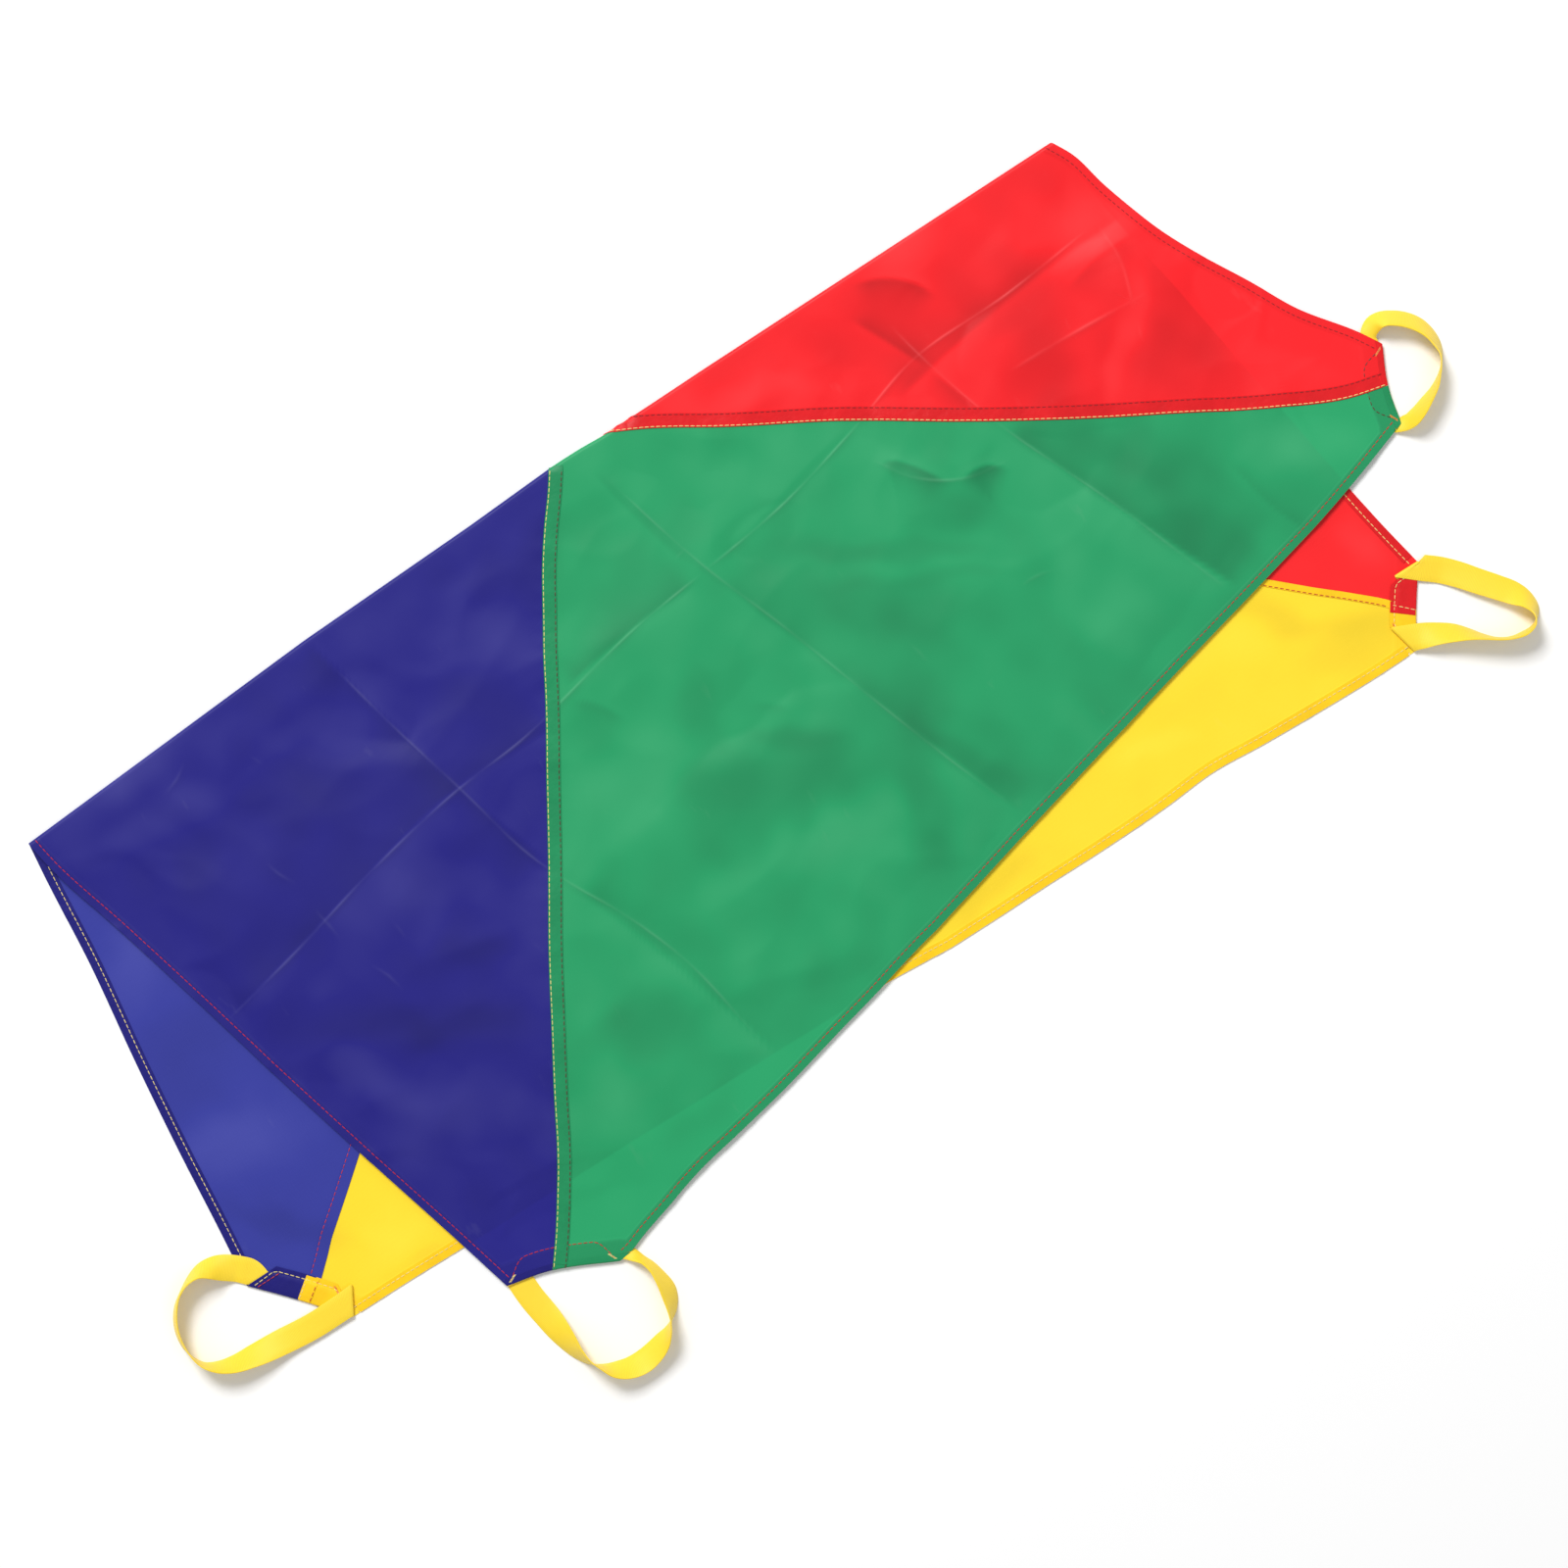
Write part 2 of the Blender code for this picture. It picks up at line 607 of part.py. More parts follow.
def webbing_anchor(name, corner, route, folded):
    """The rest of a handle's webbing: folded lengthwise through the casing and out to the cut's line."""
    before, _, after = split_line(handle_line(corner, route, folded))
    after = after[::-1]
    low = corner.channel_height() - FOLDED_WEBBING / 2
    high = corner.channel_height() + FOLDED_WEBBING / 2

    def flat(along, inward):
        """The two skins of the folded webbing at a place in the channel."""
        return corner.at(along, inward, low), corner.at(along, inward, high)

    def end_sections(tail, sign, is_folded):
        """Sections from the cut's line to the mouth, each with its edge near the cut first."""
        if is_folded:
            near = sign * (corner.reach + 2 * GAP)
            far = near + sign * FOLDED_WIDTH
            corner_depth = TURN_REACH + FOLDED_WIDTH
            return [
                (flat(near, GAP / 2), flat(far, GAP / 2)),
                (flat(near, TURN_REACH + GAP), flat(far, corner_depth)),
            ]
        tail[-1].y = -GAP / 2
        line = divided(tail, ROUTE_STEP)
        found = []
        for k, place in enumerate(line):
            across = square_to(line, k)
            if k == len(line) - 1:
                across = Vector((1, 0))
            edges = section(corner, place, across, 0)
            found.append(tuple(edges if sign > 0 else edges[::-1]))
        return found[::-1]

    sections = end_sections(before, -1, folded[0])
    for along in (-corner.reach, (corner.border - corner.middle).dot(corner.along), corner.reach):
        start = corner.cut_depth(along) + TURN_REACH
        sections.append((flat(along, start + GAP), flat(along, start + FOLDED_WIDTH)))
    sections += end_sections(after, 1, folded[1])[::-1]
    return solid(name, list(zip(*sections)), "webbing")


def empty(name, place, parent=None):
    """A marker on a joint's axis that carries the pieces which turn about it."""
    made = bpy.data.objects.new(name, None)
    bpy.context.collection.objects.link(made)
    made.location = place
    if parent:
        made.parent = parent
        made.location = place - parent.matrix_world.translation
    bpy.context.view_layer.update()
    return made


def carry(parent, *pieces):
    """Hangs pieces on a marker where they already are."""
    for piece in pieces:
        piece.parent = parent
        piece.matrix_parent_inverse = parent.matrix_world.inverted()


def build_upper():
    """The half on top: part of the blue panel, the green panel and part of the red one."""
    blue_edge = shares_line(UPPER_BLUE_EDGE_SHARES, UPPER_DEPTH)
    green_edge = shares_line(GREEN_EDGE_SHARES, UPPER_DEPTH)
    red_edge = shares_line(UPPER_RED_EDGE_SHARES, UPPER_DEPTH)
    blue_green = shares_line(BLUE_GREEN_SEAM_SHARES, UPPER_DEPTH)
    red_green = shares_line(RED_GREEN_SEAM_SHARES, UPPER_DEPTH)
    near = Corner("upper", blue_edge[-1], blue_green[-1], green_edge[-1], blue_green)
    far = Corner("upper", red_edge[-1], red_green[-1], green_edge[0], red_green)
    pieces = []

    left = near.back(blue_edge)
    right = near.back(shifted(blue_green, -GAP / 2))
    top = ridge_line(left[0].x, right[0].x, PANEL_COLUMNS)
    blue = net(top, straight(left[-1], right[-1], PANEL_COLUMNS), left, right, True)
    pieces.append(sheet("blue_panel_upper", "upper", blue, "blue_cloth"))
    pieces.append(hem("blue_hem_upper", "upper", blue[0], HEM_WIDTH, "blue_cloth"))

    edge = far.back(near.back(green_edge)[::-1])[::-1]
    middle = divided(edge, COLUMN_STEP)[::-1]

    def green_columns(beside, foot, right):
        """The columns of the green panel beyond its seam with the blue one."""
        bottom = straight(foot, middle[0], CUT_STEPS)[:-1] + middle
        bottom += straight(middle[-1], right[-1], CUT_STEPS)[1:]
        return net(ridge_line(beside[0].x, right[0].x, len(bottom) - 1), bottom, beside, right, True)

    left = near.back(shifted(blue_green, GAP / 2))
    right = far.back(shifted(red_green, -GAP / 2))
    green = seam_net(left, middle[0], right, green_columns)
    pieces.append(sheet("green_panel", "upper", green, "green_cloth"))
    pieces.append(hem("green_hem", "upper", middle, HEM_WIDTH, "green_cloth", both=True))
    pieces.append(strip("blue_green_seam", "upper", green[0], green[1], 1, "green_cloth"))

    def red_columns(beside, foot, right):
        """The columns of the red panel's upper stretch beyond its seam with the green one."""
        top = ridge_line(beside[0].x, right[0].x, PANEL_COLUMNS)
        return net(top, straight(foot, right[-1], PANEL_COLUMNS), beside, right, True)

    left = far.back(shifted(red_green, GAP / 2))
    right = far.back(red_edge)
    red = seam_net(left, right[-1], right, red_columns)
    pieces.append(sheet("red_panel_upper", "upper", red, "red_cloth"))
    pieces.append(hem("red_hem_upper", "upper", red[-1], -HEM_WIDTH, "red_cloth"))
    pieces.append(strip("red_green_seam", "upper", red[0], red[1], 1, "red_cloth"))

    pieces.append(casing("blue_casing_upper", near, 0, "blue_cloth"))
    pieces.append(casing("green_casing_near_blue", near, 1, "green_cloth"))
    pieces.append(casing("red_casing_upper", far, 0, "red_cloth"))
    pieces.append(casing("green_casing_near_red", far, 1, "green_cloth"))
    loop = (BLUE_GREEN_ROUTE_SHARES, BLUE_GREEN_FOLDED)
    pieces.append(webbing_anchor("blue_green_webbing_anchor", near, *loop))
    loop = (RED_GREEN_ROUTE_SHARES, RED_GREEN_FOLDED)
    pieces.append(webbing_anchor("red_green_webbing_anchor", far, *loop))
    return pieces, near, far


def ridge_line(start, end, count):
    """Places along the fold's ridge, on the flat cloth."""
    line = []
    for k in range(count + 1):
        x = start + (end - start) * k / count
        line.append(Vector((x, ridge(x) - GAP / 2)))
    return line


def hem(name, half, edge, width, finish, both=False):
    """The turned edge of a panel, stopped short of the corner casings."""
    side = -1 if half == "upper" else 1
    line = trimmed(edge, FLAP_DEPTH if both else 0, FLAP_DEPTH)
    return strip(name, half, line, shifted(line, width), side, finish)


def inner_seam(name, line, corner, finish):
    """A felled seam on the inner side, without the stretch that the casing's flap covers."""
    covered = (FLAP_DEPTH - TURN_REACH) * hypot(1, corner.border_slant)
    seen = trimmed(line, 0, covered + SEAM_WIDTH * abs(corner.border_slant) + GAP)
    return strip(name, "lower", seen, shifted(seen, -SEAM_WIDTH), 1, finish)


def build_lower():
    """The half underneath: the rest of the red and blue panels, the yellow one and the green tip."""
    blue_edge = shares_line(LOWER_BLUE_EDGE_SHARES, LOWER_DEPTH)
    yellow_edge = shares_line(YELLOW_EDGE_SHARES, LOWER_DEPTH)
    red_edge = shares_line(LOWER_RED_EDGE_SHARES, LOWER_DEPTH)
    blue_yellow = shares_line(BLUE_YELLOW_SEAM_SHARES, LOWER_DEPTH)
    red_yellow = shares_line(RED_YELLOW_SEAM_SHARES, LOWER_DEPTH)
    near = Corner("lower", blue_edge[-1], blue_yellow[-1], yellow_edge[0], blue_yellow)
    far = Corner("lower", red_edge[-1], red_yellow[-1], yellow_edge[-1], red_yellow)
    sideways = Vector((GAP / 2, 0))
    pieces = []

    tip_top = ridge_line(
        BLUE_GREEN_SEAM_SHARES[0][0] * FOLD_LENGTH,
        RED_GREEN_SEAM_SHARES[0][0] * FOLD_LENGTH,
        TIP_STEPS,
    )
    tip_bottom = straight(blue_yellow[0], red_yellow[0], TIP_STEPS)
    tip_left = column(lambda share: tip_top[0].lerp(tip_bottom[0], share), True, 1)
    tip_right = column(lambda share: tip_top[-1].lerp(tip_bottom[-1], share), True, 1)
    inner_top = [place.lerp(tip_top[TIP_STEPS // 2], GAP / FOLD_BOW) for place in tip_top]
    left = [place + sideways for place in tip_left]
    right = [place - sideways for place in tip_right]
    tip = net(inner_top, tip_bottom, left, right, True, 1)
    pieces.append(sheet("green_panel_tip", "lower", tip, "green_cloth"))

    left = near.back(blue_edge)
    right = near.back(shifted(blue_yellow, -GAP / 2))
    side = [place - sideways for place in tip_left]
    top = ridge_line(left[0].x, side[0].x, PANEL_COLUMNS) + side[1:]
    right[0] = top[-1]
    blue = net(top, straight(left[-1], right[-1], len(top) - 1), left, right, True)
    pieces.append(sheet("blue_panel_lower", "lower", blue, "blue_cloth"))
    pieces.append(hem("blue_hem_lower", "lower", blue[0], HEM_WIDTH, "blue_cloth"))
    pieces.append(inner_seam("blue_yellow_seam", blue[-1], near, "blue_cloth"))

    left = far.back(shifted(red_yellow, GAP / 2))
    right = far.back(red_edge)
    side = [place + sideways for place in tip_right]
    top = side[:0:-1] + ridge_line(side[0].x, right[0].x, PANEL_COLUMNS)
    left[0] = top[0]
    red = net(top, straight(left[-1], right[-1], len(top) - 1), left, right, True)
    pieces.append(sheet("red_panel_lower", "lower", red, "red_cloth"))
    pieces.append(hem("red_hem_lower", "lower", red[-1], -HEM_WIDTH, "red_cloth"))

    left = near.back(shifted(blue_yellow, GAP / 2))
    right = far.back(shifted(red_yellow, -GAP / 2))
    left[0] = blue_yellow[0] - Vector((0, GAP))
    right[0] = red_yellow[0] - Vector((0, GAP))
    edge = near.back(far.back(yellow_edge)[::-1])[::-1]
    middle = divided(edge, COLUMN_STEP)
    bottom = straight(left[-1], edge[0], CUT_STEPS)[:-1] + middle
    bottom += straight(edge[-1], right[-1], CUT_STEPS)[1:]
    yellow = net(straight(left[0], right[0], len(bottom) - 1), bottom, left, right, False)
    pieces.append(sheet("yellow_panel", "lower", yellow, "yellow_cloth"))
    pieces.append(hem("yellow_hem", "lower", middle, HEM_WIDTH, "yellow_cloth", both=True))
    pieces.append(inner_seam("red_yellow_seam", yellow[-1], far, "yellow_cloth"))

    pieces.append(casing("blue_casing_lower", near, 0, "blue_cloth"))
    pieces.append(casing("yellow_casing_near_blue", near, 1, "yellow_cloth"))
    pieces.append(casing("red_casing_lower", far, 0, "red_cloth"))
    pieces.append(casing("yellow_casing_near_red", far, 1, "yellow_cloth"))
    loop = (BLUE_YELLOW_ROUTE_SHARES, BLUE_YELLOW_FOLDED)
    pieces.append(webbing_anchor("blue_yellow_webbing_anchor", near, *loop))
    loop = (RED_YELLOW_ROUTE_SHARES, RED_YELLOW_FOLDED)
    pieces.append(webbing_anchor("red_yellow_webbing_anchor", far, *loop))
    return pieces, near, far


def main():
    """Builds the parachute and sets its origin under its middle."""
    for old in list(bpy.data.objects):
        bpy.data.objects.remove(old)

    upper, blue_green, red_green = build_upper()
    lower, blue_yellow, red_yellow = build_lower()
    loops = (
        ("red_green_handle", red_green, RED_GREEN_ROUTE_SHARES, RED_GREEN_FOLDED),
        ("blue_green_handle", blue_green, BLUE_GREEN_ROUTE_SHARES, BLUE_GREEN_FOLDED),
        ("red_yellow_handle", red_yellow, RED_YELLOW_ROUTE_SHARES, RED_YELLOW_FOLDED),
        ("blue_yellow_handle", blue_yellow, BLUE_YELLOW_ROUTE_SHARES, BLUE_YELLOW_FOLDED),
    )

    canopy = empty("canopy", Vector((0, 0, 0)))
    hinge = empty("canopy_unfold_axis", Vector((FOLD_LENGTH / 2, HINGE_OUT, HINGE_HEIGHT)), canopy)
    carry(canopy, *lower)
    carry(hinge, *upper)
    for name, corner, route, folded in loops:
        place = corner.at(0, 0, corner.hinge_height())
        axis = empty(name + "_axis", place, hinge if corner.half == "upper" else canopy)
        carry(axis, handle(name, corner, route, folded))

    bpy.context.view_layer.update()
    pieces = [piece for piece in bpy.data.objects if piece.data]
    corners = [piece.matrix_world @ Vector(corner) for piece in pieces for corner in piece.bound_box]
    lowest = [min(c[k] for c in corners) for k in range(3)]
    highest = [max(c[k] for c in corners) for k in range(3)]
    canopy.location = (-(lowest[0] + highest[0]) / 2, -(lowest[1] + highest[1]) / 2, -lowest[2])


main()
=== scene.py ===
import json
from math import cos, pi, radians, sin

import bmesh
import bpy
import numpy as np
from bpy.props import FloatProperty, FloatVectorProperty, PointerProperty
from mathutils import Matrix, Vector


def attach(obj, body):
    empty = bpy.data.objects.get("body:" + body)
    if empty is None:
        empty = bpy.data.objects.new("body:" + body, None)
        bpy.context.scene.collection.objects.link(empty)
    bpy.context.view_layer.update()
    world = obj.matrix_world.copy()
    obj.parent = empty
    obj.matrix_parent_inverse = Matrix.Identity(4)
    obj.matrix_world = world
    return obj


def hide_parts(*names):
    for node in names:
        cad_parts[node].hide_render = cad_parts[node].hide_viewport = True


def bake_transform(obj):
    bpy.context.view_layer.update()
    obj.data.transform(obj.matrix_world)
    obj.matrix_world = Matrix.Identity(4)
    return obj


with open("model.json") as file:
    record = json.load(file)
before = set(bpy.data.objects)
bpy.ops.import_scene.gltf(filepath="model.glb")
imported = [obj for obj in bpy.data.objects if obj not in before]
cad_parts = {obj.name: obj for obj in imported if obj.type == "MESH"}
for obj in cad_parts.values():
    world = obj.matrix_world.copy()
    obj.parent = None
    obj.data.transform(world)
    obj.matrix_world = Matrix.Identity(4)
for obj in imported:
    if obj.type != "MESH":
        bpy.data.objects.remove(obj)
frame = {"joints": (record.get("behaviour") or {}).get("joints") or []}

bl_info = {
    "name": "Play Parachute",
    "version": (1, 0, 0),
    "blender": (4, 5, 0),
    "location": "View3D > Sidebar > Parachute",
    "description": "Dresses a folded play parachute with cloth, seams, stitching and webbing handles",
    "category": "Object",
}

MM = 0.001
# The turn from the directions along and back from the fold to those of the camera's view, in degrees
PHOTO_TURN = -34.44

# The fold's ridge and the canopy's outlines as it lies, in millimetres along the fold and back from it
RIDGE = (
    (0, 0), (258.1, 8.7), (410.2, 9.4), (485, 11.1), (497, 10.9), (512.3, 10.3), (530.1, 8.8), (576.1, 7.8),
    (618.7, 7.2), (934, 0),
)
UPPER_BLUE_EDGE = (
    (0, 0), (3.2, -22.8), (20.7, -96.7), (38, -172.3), (55.8, -253.6), (74.2, -332.7), (98, -431.5), (109, -479.5),
)
GREEN_EDGE = (
    (190, -512), (201.2, -510.5), (216.7, -505.7), (245.1, -498.3), (278.5, -489.5), (318.5, -483), (363.6, -475.5),
    (418.6, -463.9), (471.9, -452.9), (553.2, -435.1), (634.7, -416.5), (708.8, -400.3), (801.9, -380),
    (882.7, -363.1), (973.5, -341.9), (1033.5, -324),
)
UPPER_RED_EDGE = (
    (934, 0), (943, -17), (949.9, -48.3), (955.4, -68.4), (965.6, -100.6), (979.6, -132.6), (999.6, -171.4),
    (1016.2, -206.1), (1047, -251.5), (1055.4, -266.6),
)
LOWER_BLUE_EDGE = (
    (0, 0), (-4, -24.4), (-13.6, -101), (-27.3, -182.5), (-37.2, -249.1), (-49, -339.7), (-53.3, -368.1),
)
YELLOW_EDGE = (
    (-0.8, -432.9), (50, -434.5), (98.9, -436.9), (200, -440.8), (300, -445.2), (400, -449.6), (471.9, -452.9),
    (506.5, -456), (558.8, -459.4), (613.2, -460.6), (666.9, -462.4), (725.6, -462.6), (766.6, -461),
    (811.2, -465.2), (863.5, -469), (907.6, -471.4), (946.2, -471.9),
)
LOWER_RED_EDGE = ((934, 0), (944, -90), (955, -180), (964, -260), (973.5, -342.9), (978.6, -380), (984.9, -418))

# The four seams, from the middle of the canopy outwards
BLUE_GREEN_SEAM = (
    (484.6, 11), (474.2, -1.3), (455, -24.1), (437.1, -47.6), (420.6, -72.3), (404.2, -96.9), (380.6, -134.5),
    (347.7, -183.8), (315.2, -233.2), (273.9, -294.7), (250.3, -332.3), (218.7, -382.4), (195.4, -420.3),
    (178.4, -444.5), (160.7, -468.3), (143.8, -489),
)
RED_GREEN_SEAM = (
    (531.5, 8.8), (561.5, -5.6), (611, -38.1), (686.9, -84.4), (758.9, -134.4), (834.2, -183.6), (910.2, -229.9),
    (960, -259.8), (1013.9, -287), (1041.5, -294.8),
)
MIDDLE = ((493.2, -4.2), (496, -4.2))
BLUE_YELLOW_SEAM = (
    (300, -155), (71.5, -335.3), (46.8, -354.3), (21.9, -373), (-3.1, -391.8), (-9.6, -393), (-27.4, -398.8),
)
RED_YELLOW_SEAM = (
    (700, -196), (887.4, -367.7), (908.9, -388.7), (930.8, -409.1), (952.7, -431.5), (963.5, -446.4),
)

# Faint short scuffs
UPPER_SCUFFS = (
    ((140, -113), (143, -126), (150, -140)), ((150, -163), (153, -183), (154, -196)),
    ((162, -222), (168, -236), (171, -253)), ((105, -28), (120, -24), (133, -15)), ((194, -204), (195, -221)),
    ((633, -250), (636, -263), (637, -273)), ((912, -149), (906, -165)), ((175, -39), (180, -52)),
    ((726, -263), (745, -264), (756, -268)), ((535, -97), (522, -100)),
)
# Sharp folds from its packing, after the scuffs: family, height and width in millimetres, then the line
UPPER_CREASES = tuple(("small", 0.1, 6, line) for line in UPPER_SCUFFS) + (
    (
        "long", 1.5, 24,
        (
            (50, -195), (117, -182.6), (201.5, -164), (292, -150), (357.7, -145.7), (398.8, -138), (460.6, -126.6),
            (535.4, -119.5),
        ),
    ),
    ("long", -1.4, 22, ((535.4, -119.5), (614.7, -111), (688.8, -94.7), (754.7, -77), (845, -76), (921, -70))),
    (
        "cross", -1.5, 20,
        (
            (264.9, -19), (276.4, -81), (292, -150), (309.4, -229), (319.3, -254), (341.3, -300.5), (359, -353),
            (371, -433),
        ),
    ),
    (
        "cross", 1.9, 24,
        ((515.3, -20.5), (538.3, -115.3), (562.4, -187.4), (590.9, -283.3), (610.6, -346), (627.4, -393.5)),
    ),
    ("cross", -1.5, 20, ((756.2, -42), (762, -73), (781.5, -149), (818.2, -246), (853.8, -351))),
    ("small", 1.6, 12, ((688.5, -121.4), (705.4, -149), (735, -171), (773.9, -180))),
    ("small", 1.4, 12, ((811.6, -125), (854.7, -127.7), (930.5, -134.8))),
    ("small", 1.5, 14, ((929.3, -71), (929, -98), (915, -140))),
    ("soft", -2.0, 28, ((377.8, -251), (450, -236), (520.9, -224.5), (604.5, -262))),
    ("soft", 1.8, 18, ((604, -322), (592, -353), (558, -380))),
    ("soft", 1.6, 26, ((150, -90), (230, -120), (330, -100), (420, -60))),
    ("soft", 1.8, 24, ((90, -250), (160, -290), (240, -350), (300, -430))),
    ("soft", -1.8, 24, ((680, -60), (720, -150), (800, -200), (900, -210))),
    ("soft", 1.8, 20, ((860, -30), (880, -90), (960, -150))),
)
# Soft swells and hollows: middle, two radii, turn in degrees and height
UPPER_SWELLS = (
    (470, -268, 150, 30, 0, 3.4), (575, -320, 26, 70, 15, 3.0), (190, -154, 100, 60, 10, 2.2),
    (219, -287, 75, 70, 60, 2.0), (859, -133, 56, 90, 20, 2.4), (803, -276, 65, 60, -35, 2.4),
    (288, -410, 56, 50, 0, 1.8), (691, -128, 75, 55, 50, 2.4), (660, -250, 60, 70, 30, 2.0),
    (720, -158, 22, 34, 30, 2.6), (905, -190, 24, 60, -30, 1.6), (430, -190, 55, 40, -20, 1.8),
    (420, -360, 70, 40, 10, 1.8), (745, -330, 70, 40, 15, 1.4),
)
# Veils of painted light and shade: middle, two radii, turn in degrees, and how much lighter the cloth is painted
UPPER_PAINTED_VEILS = (
    (483, -277, 111, 28, -10, -0.1), (582, -349, 16, 59, -29, -0.1), (631, -218, 47, 19, -44, -0.09),
    (628, -282, 18, 37, -34, -0.06), (626, -361, 36, 10, -54, -0.09), (471, -213, 13, 41, -34, -0.05),
    (519, -257, 25, 7, -34, -0.07), (728, -189, 27, 15, -24, -0.08), (869, -315, 47, 19, -79, -0.07),
    (859, -239, 46, 15, -49, -0.07), (968, -297, 44, 16, -29, 0.1), (293, -378, 56, 18, -9, -0.1),
    (259, -388, 30, 22, -4, 0.09), (349, -368, 41, 19, -74, 0.05), (300, -458, 24, 8, 16, -0.1),
    (373, -255, 44, 41, -34, 0.05), (434, -100, 15, 44, -34, 0.05), (634, -84, 81, 22, -26, 0.04),
    (659, -184, 70, 7, -34, -0.07), (665, -215, 63, 6, -32, -0.05), (516, -340, 56, 19, -6, 0.07),
    (408, -216, 44, 30, -14, 0.05), (764, -299, 44, 30, -34, 0.03), (739, -362, 37, 22, -64, -0.05),
    (167, -280, 70, 15, -31, -0.13), (224, -256, 31, 11, -24, -0.1), (232, -198, 63, 24, -29, 0.07),
    (79, 10, 44, 19, -2, 0.12), (188, -79, 52, 28, -34, -0.06), (233, -53, 70, 16, -4, 0.06),
    (154, -351, 44, 19, -34, 0.08), (97, -88, 16, 44, 1, -0.06), (105, -43, 52, 13, -4, 0.07),
    (365, -57, 44, 19, -34, 0.04), (438, -35, 44, 16, 0, -0.06), (114, -292, 44, 12, -54, 0.06),
    (930, -70, 37, 18, 1, 0.17), (840, -125, 18, 44, -29, -0.07), (945, -168, 36, 44, -34, -0.07),
    (904, -148, 10, 44, -44, 0.08), (814, -82, 41, 12, 1, -0.06), (790, 7, 44, 19, -4, 0.05),
    (983, -229, 37, 10, -54, 0.05), (651, -33, 52, 10, -24, 0.05),
)
# The lower half's veils of painted light and shade, in the same columns
LOWER_PAINTED_VEILS = (
    (879, -394, 52, 10, -42, -0.06), (914, -440, 33, 15, -4, -0.05), (810, -382, 44, 16, -4, 0.05),
    (718, -379, 37, 13, -4, -0.05), (744, -420, 30, 9, -4, 0.04), (582, -434, 37, 10, -4, -0.05),
    (32, -111, 19, 44, -59, 0.09), (12, -205, 30, 44, -59, -0.06), (-1, -276, 37, 22, -24, 0.09),
    (-4, -346, 44, 10, -49, -0.07), (57, -401, 30, 13, 6, 0.04), (71, -433, 27, 7, -14, -0.05),
    (956, -386, 18, 10, -74, 0.05),
)
# Painted shade and light of folds that catch the light from one side: how much lighter the right-hand side is painted,
# how far, then the line
UPPER_PAINTED_SHADES = (
    (-0.15, 22, ((529, -123), (488, -123), (443, -127), (399, -133))),
    (-0.08, 26, ((633, -406), (598, -305), (576, -233), (552, -163), (542, -130))),
    (-0.2, 12, ((687, -128), (697, -128), (708, -138), (719, -155), (728, -172))),
    (-0.24, 18, ((730, -174), (742, -171), (757, -173), (772, -188))),
    (-0.1, 8, ((395, -139), (410, -152), (427, -182))),
    (-0.05, 20, ((552, -115), (593, -110), (642, -98), (694, -89))),
    (-0.05, 14, ((530, -111), (519, -68), (508, -5))),
    (-0.15, 32, ((863, -359), (834, -289), (808, -221), (783, -157))),
    (-0.08, 18, ((377, -453), (351, -352), (323, -262))),
    (-0.08, 6, ((505, -218), (523, -231), (536, -245))),
    (-0.09, 18, ((259, 10), (275, -71), (291, -148), (315, -233))),
    (-0.1, 24, ((379, -151), (291, -148), (171, -170), (51, -195))),
    (-0.2, 11, ((748, -3), (772, -13), (791, -31), (799, -50))),
    (-0.18, 9, ((763, -89), (748, -54), (733, -21))),
    (-0.12, 20, ((953, -76), (861, -78), (763, -89), (729, -95))),
    (-0.14, 10, ((762, -86), (770, -114), (777, -143))),
    (-0.1, 10, ((879, -99), (916, -91), (952, -91))),
    (-0.08, 8, ((938, -373), (918, -323), (908, -272))),
)

